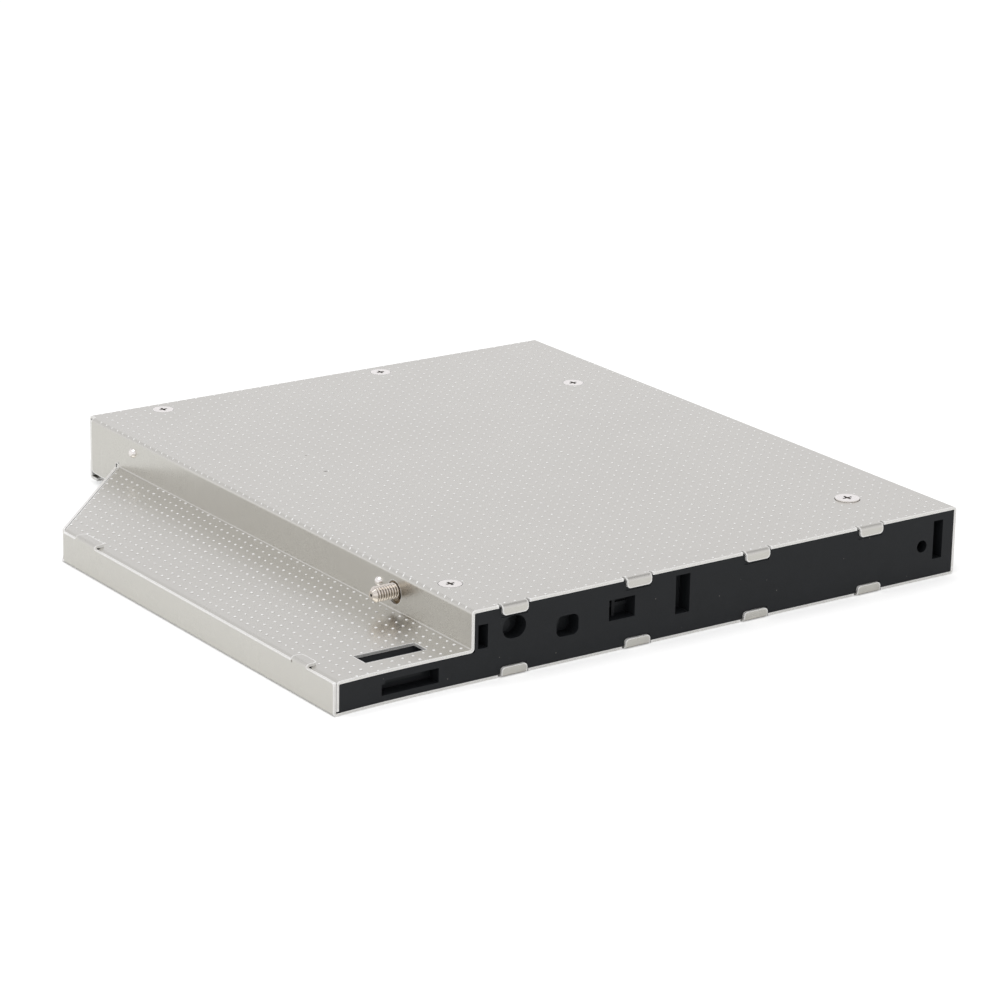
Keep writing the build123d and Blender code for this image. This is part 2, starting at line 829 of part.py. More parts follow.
def underside_screws():
    """Flush screws through the floor, sunk so that the case lies on its sheet."""
    places = underside_places
    return screw_set(places, shell_screw_head, shell_recess, underside_recess, down=False)


def boss_inserts():
    """Brass inserts in the bosses."""
    bore = screw_thread + 2 * thread_gap
    made = []
    for p, z0, z1 in insert_places():
        made.append(post(p, insert_diameter, z0, z1) - post(p, bore, z0 - slack, z1 + slack))
    return made


def board_outline(tail, gap=0.0):
    """Plan of the board: a strip in the ledge and a tail behind the drive up to x = tail."""
    inset = (sheet + board_inset + gap) / math.cos(chamfer_angle)
    slope = math.tan(chamfer_angle)
    x0 = flange_x + sheet + board_inset + gap
    x1 = step - gap
    x2 = frame_left + board_frame_gap + gap
    x3 = tail - gap
    window_end = front + top_window[1] + top_window_size[1] / 2
    y0 = window_end + board_front_gap + gap
    y1 = tail_front + gap
    y2 = tail_rear - gap
    return outline(
        (x0, y0),
        (x1, y0),
        (x1, y1),
        (x3, y1),
        (x3, y2),
        (x2, y2),
        (x2, chamfer_front - inset + (x2 - left) * slope),
        (x0, chamfer_front - inset + (x0 - left) * slope),
    )


def circuit_board():
    """Board that carries the receptacle and the plug, notched for the receptacle's body."""
    gap = board_notch_gap
    x0 = receptacle_back + receptacle_heel - gap
    half = receptacle_width / 2 + gap
    y0, y1 = receptacle_middle - half, receptacle_middle + half
    board = upward(board_outline(tail_end), board_bottom, board_top)
    board -= block(x0, step + slack, y0, y1, -past, height)
    return board - [post(p, board_screw_hole, 0, board_top + sheet) for p in board_screw_places]


def insulating_film():
    """Film between the board and the floor, cut out around the ledge's standoffs."""
    film = upward(board_outline(plug_end, film_inset), sheet, sheet + film_wall)
    hole = standoff_diameter + 2 * film_inset
    return film - [post(p, hole, 0, 2 * sheet) for p in board_screw_places[:2]]


def board_standoffs():
    """Standoffs clinched into the floor."""
    made = []
    for p in board_screw_places:
        body = post(p, standoff_diameter, sheet, board_bottom) + post(p, standoff_foot, slack, sheet)
        bore = board_screw_thread + 2 * thread_gap
        made.append(body - post(p, bore, mid, board_bottom + slack))
    return made


def board_screws():
    """Pan-head screws of the board."""
    top = board_top + board_screw_head_wall
    made = []
    for p in board_screw_places:
        head = post(p, board_screw_head, board_top, top)
        rim = head.edges().filter_by(GeomType.CIRCLE).sort_by(Axis.Z)[-1]
        screw = fillet(rim, board_screw_round) + post(p, board_screw_thread, sheet, board_top)
        made.append(screw - cross_recess(p, top, True, *board_recess))
    return made


def chips(places, size):
    """Small blocks soldered to the board."""
    dx, dy, dz = size
    return [Pos(x, y, board_top + dz / 2) * Box(dx, dy, dz) for x, y in places]


def board_capacitors():
    """Capacitors ahead of the receptacle and one on the board's tail."""
    x = left + capacitor_inset
    places = [(x, receptacle_front - row) for row in capacitor_rows]
    return chips(places + [(step + tail_capacitor, tail_middle)], capacitor_size)


def board_resistors():
    """Resistors beside the receptacle and two on the board's tail."""
    x = left + resistor_inset
    places = [(x, receptacle_front + row) for row in resistor_rows]
    places += [(step + reach, tail_middle) for reach in tail_resistors]
    return chips(places, resistor_size)


def contact_rows(counts, middle):
    """Positions of two rows of contacts, with a gap of two pitches, about a middle."""
    total = (sum(counts) + 1) * contact_pitch
    start = middle - total / 2
    first = [start + contact_pitch * i for i in range(counts[0])]
    second = [start + contact_pitch * (i + counts[0] + 2) for i in range(counts[1])]
    return first, second


def slot_spans(counts, middle):
    """Ends of the slot around each row of contacts."""
    return [(row[0] - contact_pitch, row[-1] + contact_pitch) for row in contact_rows(counts, middle)]


def receptacle_slot():
    """Lowest and highest point of the receptacle's contact slots."""
    return receptacle_bottom + nose_step + nose_wall, receptacle_top - nose_wall


def drive_receptacle():
    """Moulded receptacle with a nose that enters the drive and two contact slots."""
    half, nose = receptacle_width / 2, nose_width / 2
    y = receptacle_middle
    heel = receptacle_back + receptacle_heel
    body = block(heel, receptacle_wall, y - half, y + half, receptacle_bottom, receptacle_top)
    body += block(receptacle_back, heel, y - half, y + half, board_top, receptacle_top)
    z = receptacle_bottom + nose_step
    body += block(receptacle_wall, receptacle_face, y - nose, y + nose, z, receptacle_top)
    rim = body.faces().sort_by(Axis.X)[-1].edges()
    body = chamfer(rim, nose_chamfer)
    z0, z1 = receptacle_slot()
    for y0, y1 in slot_spans(receptacle_counts, y):
        body -= block(receptacle_back + slot_back, receptacle_face + past, y0, y1, z0, z1)
    return body


def receptacle_contacts():
    """Contact strips on the floor of the receptacle's slots."""
    x0, x1 = receptacle_back + slot_back, receptacle_face - contact_setback
    z = receptacle_slot()[0]
    half = contact_width / 2
    first, second = contact_rows(receptacle_counts, receptacle_middle)
    return [block(x0, x1, y - half, y + half, z, z + contact_wall) for y in first + second]


def solder_tails():
    """Tails of the receptacle and of the plug on the board."""
    x0, x1 = receptacle_back - tail_length, receptacle_back
    y0, y1 = plug_front - tail_length, plug_front
    z0, z1 = board_top, board_top + contact_wall
    half = contact_width / 2
    first, second = contact_rows(receptacle_counts, receptacle_middle)
    made = [block(x0, x1, y - half, y + half, z0, z1) for y in first + second]
    first, second = contact_rows(plug_counts, plug_middle)
    made += [block(x - half, x + half, y0, y1, z0, z1) for x in first + second]
    return made


def plug_tongue_span():
    """Lowest and highest point of the plug's tongues."""
    middle = (board_top + plug_top) / 2
    return middle - plug_tongue / 2, middle + plug_tongue / 2


def bay_plug():
    """Moulded plug with two contact tongues in a shroud open to the rear."""
    x0, x1 = plug_middle - plug_width / 2, plug_middle + plug_width / 2
    back = plug_front + plug_back
    w = plug_wall
    plug = block(x0, x1, plug_front, plug_mouth, board_top, plug_top)
    plug -= block(x0 + w, x1 - w, back, plug_mouth + past, board_top + w, plug_top - w)
    t0, t1 = plug_tongue_span()
    for start, end in slot_spans(plug_counts, plug_middle):
        x0, x1 = start + tongue_margins[0], end - tongue_margins[1]
        plug += block(x0, x1, back, plug_mouth - tongue_setback, t0, t1)
    return plug


def plug_contacts():
    """Contact strips on the upper face of the plug's tongues."""
    y0, y1 = plug_front + plug_back, plug_mouth - plug_contact_setback
    z = plug_tongue_span()[1]
    half = contact_width / 2
    first, second = contact_rows(plug_counts, plug_middle)
    return [block(x - half, x + half, y0, y1, z, z + contact_wall) for x in first + second]


nodes = {
    "top_shell": top_shell,
    "bottom_shell": bottom_shell,
    "front_panel": front_panel,
    "front_rail": front_rail,
    "rear_frame": rear_frame,
    "nut_plate": nut_plate,
    "nut_plate_rivets": rivets,
    "release_screw": release_screw,
    "shell_screws": shell_screws,
    "rail_screws": rail_screws,
    "underside_screws": underside_screws,
    "boss_inserts": boss_inserts,
    "circuit_board": circuit_board,
    "insulating_film": insulating_film,
    "board_standoffs": board_standoffs,
    "board_screws": board_screws,
    "board_capacitors": board_capacitors,
    "board_resistors": board_resistors,
    "drive_receptacle": drive_receptacle,
    "receptacle_contacts": receptacle_contacts,
    "solder_tails": solder_tails,
    "bay_plug": bay_plug,
    "plug_contacts": plug_contacts,
}

os.makedirs("parts", exist_ok=True)
for name, make in nodes.items():
    made = make()
    solids = made if isinstance(made, list) else made.solids()
    shape = solids[0] if len(solids) == 1 else Compound(children=list(solids))
    export_step(shape, "parts/" + name + ".step")
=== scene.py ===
import math

import bmesh
import bpy
from bpy.props import FloatProperty, FloatVectorProperty, IntProperty, PointerProperty
from bpy.types import Operator, Panel, PropertyGroup
from mathutils import Matrix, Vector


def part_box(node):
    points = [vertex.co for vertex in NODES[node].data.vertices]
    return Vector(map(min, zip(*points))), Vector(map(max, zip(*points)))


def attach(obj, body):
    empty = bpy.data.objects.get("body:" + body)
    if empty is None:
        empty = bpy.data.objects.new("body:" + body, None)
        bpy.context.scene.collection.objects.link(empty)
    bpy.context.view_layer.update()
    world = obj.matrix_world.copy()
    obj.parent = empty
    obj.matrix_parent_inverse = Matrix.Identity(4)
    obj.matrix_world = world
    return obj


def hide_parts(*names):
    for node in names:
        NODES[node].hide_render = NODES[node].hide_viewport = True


bl_info = {
    "name": "Laptop drive caddy",
    "version": (1, 0, 0),
    "blender": (4, 5, 0),
    "location": "3D View > Sidebar > Caddy",
    "description": "Dresses the packed drive caddy: sheet metal, raised dots, thread, board and stage",
    "category": "Object",
}

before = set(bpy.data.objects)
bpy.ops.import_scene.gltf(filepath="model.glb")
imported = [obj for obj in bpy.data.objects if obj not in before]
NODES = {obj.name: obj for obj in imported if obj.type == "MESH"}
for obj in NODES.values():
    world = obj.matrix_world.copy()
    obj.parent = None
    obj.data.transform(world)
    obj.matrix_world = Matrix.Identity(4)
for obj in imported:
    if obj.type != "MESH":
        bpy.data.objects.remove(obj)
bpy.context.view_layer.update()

# Least upward part of a level face's normal, the digits that its height is rounded to, and how near
# two heights or two points are when they count as the same
UPWARD = 0.999
LEVEL_DIGITS = 5
SAME_LEVEL = 0.00001
SAME_POINT = 0.000001


def flat_levels(mesh):
    """Heights of the upward faces of a folded sheet, the widest first."""
    areas = {}
    for face in mesh.polygons:
        if face.normal.z > UPWARD:
            level = round(face.center.z, LEVEL_DIGITS)
            areas[level] = areas.get(level, 0.0) + face.area
    return sorted(areas, key=areas.get, reverse=True)


ROOF, LEDGE = flat_levels(NODES["top_shell"].data)[:2]
ROOF_POINTS = [v.co for v in NODES["top_shell"].data.vertices if abs(v.co.z - ROOF) < SAME_LEVEL]
STEP = min(point.x for point in ROOF_POINTS)
REAR = max(point.y for point in ROOF_POINTS)

# The floor lies this far below the part, so that they share no plane
FLOOR_DROP = 0.00002

WHITE = (1.0, 1.0, 1.0, 1.0)

# What reflections see of the surroundings: pairs of a height, from level to overhead, and a tone,
# and the tint that all tones share
SKY_TONES = ((0.0, 1.0), (0.26, 1.0), (0.37, 0.82), (0.46, 0.84), (0.62, 0.88), (0.80, 0.50), (1.0, 0.45))

SKY_TINT = (0.975, 0.970, 1.0)

# How metallic bare bright spots look: fine scratches make the cut edges partly white, and on the dots and
# nicks the near-white, barely metallic finish is partly a painted glint
BRIGHT_METALLIC = 0.08

# Parts of the grain's range that colour and roughness follow
NARROW = (0.35, 0.65)
WIDE = (0.3, 0.7)

# How strongly the dark brown covers a narrow gap, as painted shade, and a small mark
GAP_SHADE_COVER = 0.85
SPOT_COVER = 0.75

# Rays that look for the sheet start this far above it and reach this far down
LIFT = 0.001
RAY = 0.004
DOWN = (0.0, 0.0, -1.0)

# Small marks on the sheets: place, and how far each reaches along X, Y and Z
MARKS = (
    ((-0.01814, 0.01080, ROOF), (0.00056, 0.00032, 0.0003)),
    ((-0.01612, 0.02052, ROOF), (0.00022, 0.00026, 0.0003)),
    ((-0.06218, -0.05518, LEDGE), (0.00020, 0.00024, 0.0003)),
    ((-0.06392, -0.05150, 0.0055), (0.00030, 0.00026, 0.0003)),
    ((-0.06354, 0.02337, LEDGE), (0.00035, 0.00045, 0.0006)),
)


# Sizes and colours that can be changed


def length(name, description, default, **limits):
    """Property for a size in metres."""
    return FloatProperty(
        name=name, description=description, default=default, unit="LENGTH", precision=6, **limits
    )


def colour(name, description, default):
    """Property for a finish's colour."""
    return FloatVectorProperty(
        name=name, description=description, default=default, subtype="COLOR", min=0.0, max=1.0
    )


def location(name, description, default):
    """Property for a place in metres."""
    return FloatVectorProperty(
        name=name, description=description, default=default, subtype="TRANSLATION", unit="LENGTH",
        precision=6,
    )


def share(name, description, default):
    """Property for a share of a whole."""
    return FloatProperty(name=name, description=description, default=default, min=0.0)


def angular(name, description, degrees):
    """Property for an angle, stored in radians."""
    return FloatProperty(
        name=name, description=description, default=math.radians(degrees), subtype="ANGLE"
    )


def whole(name, description, default):
    """Property for a whole number."""
    return IntProperty(name=name, description=description, default=default, min=1)


class CaddyDots(PropertyGroup):
    """Sizes of the raised dots on the roof and the ledge."""

    pitch_across: length("Pitch across", "Distance between dots along X on the roof", 0.0020)
    pitch_along: length("Pitch along", "Distance between dots along Y on the roof", 0.00203)
    ledge_across: length("Ledge pitch across", "Distance between dots along X on the ledge", 0.002076)
    ledge_along: length("Ledge pitch along", "Distance between dots along Y on the ledge", 0.001972)
    roof_diameter: length("Roof diameter", "Diameter of a roof dot at its foot", 0.00044)
    ledge_diameter: length("Ledge diameter", "Diameter of a ledge dot at its foot", 0.00054)
    roof_proud: length("Roof height", "How far a dot stands above the roof", 0.00006)
    ledge_proud: length("Ledge height", "How far a dot stands above the ledge", 0.00010)
    margin: length("Margin", "Bare sheet kept between a dot's middle and any edge", 0.00025)
    bare_foot: length("Bare foot", "Bare ledge kept in front of the step's upper bend", 0.00110)
    roof_dot: location("Roof dot", "Place of one dot of the roof's lattice", (-0.0308, -0.0543, 0.0))
    ledge_dot: location("Ledge dot", "Place of one dot of the ledge's lattice", (-0.05093, -0.03886, 0.0))
    roof_lean: share("Roof lean", "Slope of the roof's rows that run along Y", 0.018)
    ledge_lean_across: share("Ledge lean across", "Slope of the ledge's rows that run along X", 0.0805)
    ledge_lean_along: share("Ledge lean along", "Slope of the ledge's rows that run along Y", 0.005)
    seed: whole("Seed", "Seed of the small size changes", 7)


class CaddyNicks(PropertyGroup):
    """Sizes of the nicks that the folding drew out over the step's upper bend."""

    pitch: length("Pitch", "Distance between two nicks along the step's bend", 0.0020)
    first: length("First nick", "Place along Y of the nick nearest to the panel", -0.0607)
    clear: whole("Clear nicks", "How many stand out at the front", 30)
    faint: share("Faint", "Size of the nicks behind the clear ones, as a share of theirs", 0.8)
    beyond: share("Beyond", "Share of its reach by which a nick's middle is past the bend's top", 0.25)
    reach: length("Reach", "Length of a nick over the bend", 0.00068)
    breadth: length("Breadth", "Breadth of a nick", 0.00029)
    proud: length("Height", "How far a nick stands above the bend", 0.00007)
    slant: angular("Slant", "Angle between a nick and the X axis", 38.7)


class CaddyThread(PropertyGroup):
    """Sizes of the release screw's thread and socket."""

    pitch: length("Pitch", "Distance between two turns", 0.0005)
    depth: length("Depth", "Depth of the thread", 0.0003)
    point: length("Point", "Length of the chamfer at the outer end", 0.00065)
    chamfer: length("Chamfer", "Length of the chamfer at the inner end", 0.00035)
    socket: length("Socket", "Width of the hex socket across its flats", 0.0005)
    socket_depth: length("Socket depth", "Depth of the hex socket", 0.0008)
    flat: share("Flat", "Share of the pitch that is flat at a crest, and at a root", 0.12)
    sides: whole("Sides", "Points round the rod", 48)
    rings: whole("Rings", "Steps along the rod", 210)
    smooth: angular("Smooth", "Edges that turn less than this are shaded smooth", 34.0)


class CaddyColours(PropertyGroup):
    """Colours of the finishes."""

    sheet: colour("Sheet", "Satin face of the pressed sheet", (0.665, 0.651, 0.606))
    cut_edge: colour("Cut edge", "Bare metal of the sheet's cut edges", (0.98, 0.97, 0.955))
    # Dark brown used for painted shade in narrow gaps, and for the small dark marks
    seam: colour("Seam", "Grime in narrow gaps and marks", (0.075, 0.052, 0.036))
    # The dots' near-white colour is partly a painted glint: they are painted whiter than they are, so that
    # they stay bright in shade
    dot: colour("Dots", "Bright top of the raised dots", (0.985, 0.98, 0.97))
    moulding: colour("Moulding", "Black moulded panel and frames", (0.0066, 0.0077, 0.0090))
    dust: colour("Dust", "Pale specks of dust on the mouldings", (0.10, 0.095, 0.09))
    zinc: colour("Zinc", "Zinc plated screws and rivets", (0.93, 0.895, 0.86))
    nickel: colour("Nickel", "Nickel plated screws", (0.78, 0.72, 0.65))
    # The plate colour is yellow passivation darkened past its own tone, as painted shade for the dark
    # screw hole in front of it
    plate: colour("Plate", "Plated steel of the nut plate", (0.20, 0.145, 0.085))
    steel: colour("Steel", "Plated steel of the standoffs", (0.55, 0.53, 0.48))
    brass: colour("Brass", "Turned brass inserts", (0.72, 0.53, 0.24))
    board: colour("Board", "Solder mask of the circuit board", (0.018, 0.130, 0.055))
    trace: colour("Traces", "Solder mask over copper tracks", (0.032, 0.205, 0.085))
    film: colour("Film", "Insulating film", (0.020, 0.020, 0.022))
    ceramic: colour("Capacitor", "Ceramic body of a capacitor", (0.40, 0.27, 0.15))
    resistor: colour("Resistor", "Body of a resistor", (0.022, 0.022, 0.024))
    connector: colour("Connector", "Moulded connector body", (0.014, 0.014, 0.016))
    gold: colour("Contact", "Gold plated contacts", (0.86, 0.62, 0.24))
    solder: colour("Solder", "Tinned solder tails", (0.74, 0.74, 0.72))


class CaddyStage(PropertyGroup):
    """Floor, lamp, surroundings and camera."""

    floor: colour("Floor", "Colour of the pale floor", (0.90, 0.90, 0.90))
    floor_radius: length("Floor radius", "Radius of the floor", 6.0)
    glow: share("Glow", "Share of white added to the floor's colour", 0.34)
    mirrored: share("Mirrored", "Share of the glow in reflections", 0.1)
    world: share("World", "Strength of the light from the surroundings", 0.70)
    key: FloatProperty(
        name="Key lamp", description="Power of the overhead lamp", default=1.6, min=0.0, unit="POWER"
    )
    key_size: length("Key size", "Side of the square lamp", 0.6)
    key_place: location("Key place", "Place of the lamp", (-0.22, -0.04, 0.62))
    lens: FloatProperty(name="Lens", description="Focal length in mm", default=135.398, min=1.0)
    sensor: FloatProperty(name="Sensor", description="Width of the sensor in mm", default=36.0, min=1.0)
    near: length("Near", "Nearest distance that the camera shows", 0.01)
    camera_place: location("Camera place", "Place of the camera", (-0.3575112, -0.5220705, 0.2126873))
    camera_turn: FloatVectorProperty(
        name="Camera turn", description="Turn of the camera about X, Y and Z",
        default=[math.radians(degrees) for degrees in (71.994568, -1.072314, -34.936225)],
        subtype="EULER", unit="ROTATION",
    )


# Building blocks


class Graph:
    """Adds nodes to a tree, sets their values and links them."""

    # Sockets of a Mix node that mixes colours: factor and the two colours, and the result
    MIX_INPUTS = (0, 6, 7)
    MIX_OUTPUT = 2

    def __init__(self, tree):
        self.tree = tree

    def add(self, kind, inputs=None, **settings):
        """One node, its settings, and its inputs by name or number."""
        made = self.tree.nodes.new(kind)
        for name, value in settings.items():
            setattr(made, name, value)
        for name, value in (inputs or {}).items():
            self.feed(made.inputs[name], value)
        return made

    def feed(self, socket, value):
        """Links a socket to the input, or sets its value."""
        if isinstance(value, bpy.types.NodeSocket):
            self.tree.links.new(value, socket)
        else:
            socket.default_value = value

    def math(self, operation, *values):
        """Output of a Math node."""
        made = self.add("ShaderNodeMath", dict(enumerate(values)), operation=operation)
        return made.outputs[0]

    def vector(self, operation, *values):
        """Output of a Vector Math node."""
        made = self.add("ShaderNodeVectorMath", dict(enumerate(values)), operation=operation)
        return made.outputs["Value" if operation in ("DOT_PRODUCT", "LENGTH") else "Vector"]

    def ramp(self, value, low, high, start=0.0, end=1.0):
        """Value mapped from low..high to start..end."""
        made = self.add(
            "ShaderNodeMapRange",
            {"Value": value, "From Min": low, "From Max": high, "To Min": start, "To Max": end},
        )
        return made.outputs["Result"]

    def mix(self, factor, first, second):
        """Mix of two colours."""
        inputs = dict(zip(self.MIX_INPUTS, (factor, first, second)))
        return self.add("ShaderNodeMix", inputs, data_type="RGBA").outputs[self.MIX_OUTPUT]


def rgba(value):
    """Colour with a full alpha."""
    return (*value, 1.0)


def new_group(name, inputs, outputs):
    """Empty shader group with named inputs and number outputs, and its graph."""
    group = bpy.data.node_groups.new(name, "ShaderNodeTree")
    for label, default in inputs.items():
        kind = "NodeSocketVector" if isinstance(default, tuple) else "NodeSocketFloat"
        item = group.interface.new_socket(name=label, in_out="INPUT", socket_type=kind)
        item.default_value = default
    for label in outputs:
        group.interface.new_socket(name=label, in_out="OUTPUT", socket_type="NodeSocketFloat")
    graph = Graph(group)
    entry = graph.add("NodeGroupInput").outputs
    out = graph.add("NodeGroupOutput").inputs
    return group, graph, entry, out


def shared(name, build):
    """A node group that is built once."""
    return bpy.data.node_groups.get(name) or build(name)


def edge_wear_group(name):
    """Mask of sharp edges, broken up by noise."""
    inputs = {"Radius": 0.0002, "Breakup": 900.0, "Evenness": 0.6}
    group, graph, entry, out = new_group(name, inputs, ["Mask"])
    turn_range = (0.015, 0.16)
    patch_range = (0.35, 0.62)
    round_normal = graph.add("ShaderNodeBevel", {"Radius": entry["Radius"]}, samples=6).outputs[0]
    flat_normal = graph.add("ShaderNodeNewGeometry").outputs["True Normal"]
    turned = graph.math("SUBTRACT", 1.0, graph.vector("DOT_PRODUCT", round_normal, flat_normal))
    edge = graph.ramp(turned, *turn_range)
    place = graph.add("ShaderNodeTexCoord").outputs["Object"]
    noise = graph.add("ShaderNodeTexNoise", {"Vector": place, "Scale": entry["Breakup"], "Detail": 3.0})
    patchy = graph.ramp(noise.outputs["Fac"], *patch_range)
    kept = graph.math("MAXIMUM", patchy, entry["Evenness"])
    graph.feed(out["Mask"], graph.math("MULTIPLY", edge, kept))
    return group


def cut_edge_group(name):
    """Mask of the thin cut edges of a sheet, where its two faces lie close together."""
    group, graph, entry, out = new_group(name, {"Reach": 0.00048}, ["Mask"])
    thin_range = (0.69, 0.59)
    depth = graph.add(
        "ShaderNodeAmbientOcclusion", {"Distance": entry["Reach"]},
        inside=True, only_local=True, samples=12,
    ).outputs["AO"]
    graph.feed(out["Mask"], graph.ramp(depth, *thin_range))
    return group


def gap_shade_group(name):
    """Mask of narrow gaps, found by ambient occlusion, where shade is painted into the colour."""
    group, graph, entry, out = new_group(name, {"Reach": 0.0003, "Open": 0.52, "Shut": 0.24}, ["Mask"])
    openness = graph.add(
        "ShaderNodeAmbientOcclusion", {"Distance": entry["Reach"]}, samples=12
    ).outputs["AO"]
    graph.feed(out["Mask"], graph.ramp(openness, entry["Open"], entry["Shut"]))
    return group


def spot_group(name):
    """Mask of one small round or long mark."""
    inputs = {"Centre": (0.0, 0.0, 0.0), "Reach": (0.0002, 0.0002, 0.0002)}
    group, graph, entry, out = new_group(name, inputs, ["Mask"])
    fade_range = (1.0, 0.45)
    place = graph.add("ShaderNodeTexCoord").outputs["Object"]
    away = graph.vector("DIVIDE", graph.vector("SUBTRACT", place, entry["Centre"]), entry["Reach"])
    graph.feed(out["Mask"], graph.ramp(graph.vector("LENGTH", away), *fade_range))
    return group


def speck_group(name):
    """Mask of sparse tiny specks."""
    inputs = {"Scale": 900.0, "Size": 0.10, "Share": 0.06}
    group, graph, entry, out = new_group(name, inputs, ["Mask"])
    place = graph.add("ShaderNodeTexCoord").outputs["Object"]
    cells = graph.add("ShaderNodeTexVoronoi", {"Vector": place, "Scale": entry["Scale"]}).outputs
    near = graph.math("LESS_THAN", cells["Distance"], entry["Size"])
    chance = graph.add("ShaderNodeSeparateColor", {0: cells["Color"]}).outputs[0]
    chosen = graph.math("LESS_THAN", chance, entry["Share"])
    graph.feed(out["Mask"], graph.math("MULTIPLY", near, chosen))
    return group


def track_group(name):
    """Mask of copper tracks: borders of cells that run square to one another."""
    inputs = {"Scale": 260.0, "Width": 0.07, "Radius": 0.32, "Randomness": 0.75,
              "Stretch": (1.0, 0.55, 0.0)}
    group, graph, entry, out = new_group(name, inputs, ["Mask"])
    place = graph.add("ShaderNodeTexCoord").outputs["Object"]
    stretched = graph.vector("MULTIPLY", place, entry["Stretch"])
    cells = graph.add(
        "ShaderNodeTexVoronoi",
        {"Vector": stretched, "Scale": entry["Scale"], "Randomness": entry["Randomness"]},
        distance="CHEBYCHEV",
    ).outputs
    ring = graph.math("ABSOLUTE", graph.math("SUBTRACT", cells["Distance"], entry["Radius"]))
    graph.feed(out["Mask"], graph.math("LESS_THAN", ring, entry["Width"]))
    return group


def grain_group(name):
    """Fine surface grain: a value about the middle, which serves as a height too."""
    inputs = {"Scale": 6000.0, "Stretch": (1.0, 1.0, 1.0), "Coarse": 0.3, "Coarser": 0.06}
    group, graph, entry, out = new_group(name, inputs, ["Value"])
    place = graph.add("ShaderNodeTexCoord").outputs["Object"]
    stretched = graph.vector("MULTIPLY", place, entry["Stretch"])
    fine = graph.add("ShaderNodeTexNoise", {"Vector": stretched, "Scale": entry["Scale"], "Detail": 2.0})
    wide_scale = graph.math("MULTIPLY", entry["Scale"], entry["Coarser"])
    wide = graph.add("ShaderNodeTexNoise", {"Vector": stretched, "Scale": wide_scale, "Detail": 4.0})
    coarse = graph.math("MULTIPLY", wide.outputs["Fac"], entry["Coarse"])
    fine_share = graph.math("SUBTRACT", 1.0, entry["Coarse"])
    total = graph.math("ADD", graph.math("MULTIPLY", fine.outputs["Fac"], fine_share), coarse)
    graph.feed(out["Value"], total)
    return group


def handling_group(name):
    """Marks of handling: wide smudges and sparse short scratches."""
    inputs = {"Scale": 45.0, "Scratches": 0.5}
    group, graph, entry, out = new_group(name, inputs, ["Smudge", "Scratch"])
    smudge_range, scratch_range = (0.42, 0.70), (0.735, 0.75)
    scratch_turn, scratch_stretch = (0.0, 0.0, math.radians(27.0)), (9.0, 260.0, 9.0)
    place = graph.add("ShaderNodeTexCoord").outputs["Object"]
    wide = graph.add(
        "ShaderNodeTexNoise",
        {"Vector": place, "Scale": entry["Scale"], "Detail": 5.0, "Distortion": 0.6},
    )
    graph.feed(out["Smudge"], graph.ramp(wide.outputs["Fac"], *smudge_range))
    drawn = graph.add(
        "ShaderNodeMapping", {"Vector": place, "Rotation": scratch_turn, "Scale": scratch_stretch}
    )
    lines = graph.add("ShaderNodeTexNoise", {"Vector": drawn.outputs[0], "Scale": 9.0, "Detail": 1.0})
    thin = graph.ramp(lines.outputs["Fac"], *scratch_range)
    graph.feed(out["Scratch"], graph.math("MULTIPLY", thin, entry["Scratches"]))
    return group


def use(graph, name, build, **values):
    """Places a shared group in a material with its own values."""
    made = graph.add("ShaderNodeGroup")
    made.node_tree = shared(name, build)
    for label, value in values.items():
        graph.feed(made.inputs[label], value)
    return made.outputs


def blank_material(name):
    """Material with a Principled shader, and its graph."""
    material = bpy.data.materials.new(name)
    material.use_nodes = True
    graph = Graph(material.node_tree)
    shader = material.node_tree.nodes["Principled BSDF"]
    return material, graph, shader


def bump(graph, shader, height, distance, strength=0.5):
    """Feeds a height to the shader's normal."""
    made = graph.add("ShaderNodeBump", {"Height": height, "Strength": strength, "Distance": distance})
    graph.feed(shader.inputs["Normal"], made.outputs["Normal"])


def uneven_roughness(graph, shader, grain, roughness, spread, smudge=None):
    """Roughness that follows the grain, and the smudges where it is given their mask."""
    rough = graph.ramp(grain, *WIDE, roughness - spread, roughness + spread)
    if smudge is not None:
        rough = graph.math("ADD", rough, graph.math("MULTIPLY", smudge, spread))
    graph.feed(shader.inputs["Roughness"], rough)


def satin_sheet(name, colours, roughness, grain=7000.0, relief=0.000006, spread=0.03, tint=0.025,
                scratch=0.3):
    """Satin sheet metal with bright cut edges, painted shade in its narrow gaps and a few small dark
    marks.
    """
    material, graph, shader = blank_material(name)
    fine = use(graph, "Fine grain", grain_group, Scale=grain)["Value"]
    marks = use(graph, "Handling marks", handling_group)
    cut = use(graph, "Cut edges", cut_edge_group)["Mask"]
    gap_shade_mask = use(graph, "Painted gap shade", gap_shade_group)["Mask"]
    darker, lighter = (tuple(c * k for c in colours.sheet) for k in (1.0 - tint, 1.0 + tint))
    look = graph.mix(graph.ramp(fine, *NARROW), rgba(darker), rgba(lighter))
    look = graph.mix(graph.math("MULTIPLY", marks["Scratch"], scratch), look, rgba(colours.cut_edge))
    for centre, reach in MARKS:
        spot = use(graph, "Spot", spot_group, Centre=centre, Reach=reach)["Mask"]
        look = graph.mix(graph.math("MULTIPLY", spot, SPOT_COVER), look, rgba(colours.seam))
    look = graph.mix(cut, look, rgba(colours.cut_edge))
    # Painted shade: narrow gaps, found by ambient occlusion, are darkened towards the dark brown
    look = graph.mix(graph.math("MULTIPLY", gap_shade_mask, GAP_SHADE_COVER), look, rgba(colours.seam))
    graph.feed(shader.inputs["Base Color"], look)
    uneven_roughness(graph, shader, fine, roughness, spread, marks["Smudge"])
    graph.feed(shader.inputs["Metallic"], graph.ramp(cut, 0.0, 1.0, 1.0, BRIGHT_METALLIC))
    bump(graph, shader, fine, relief)
    return material


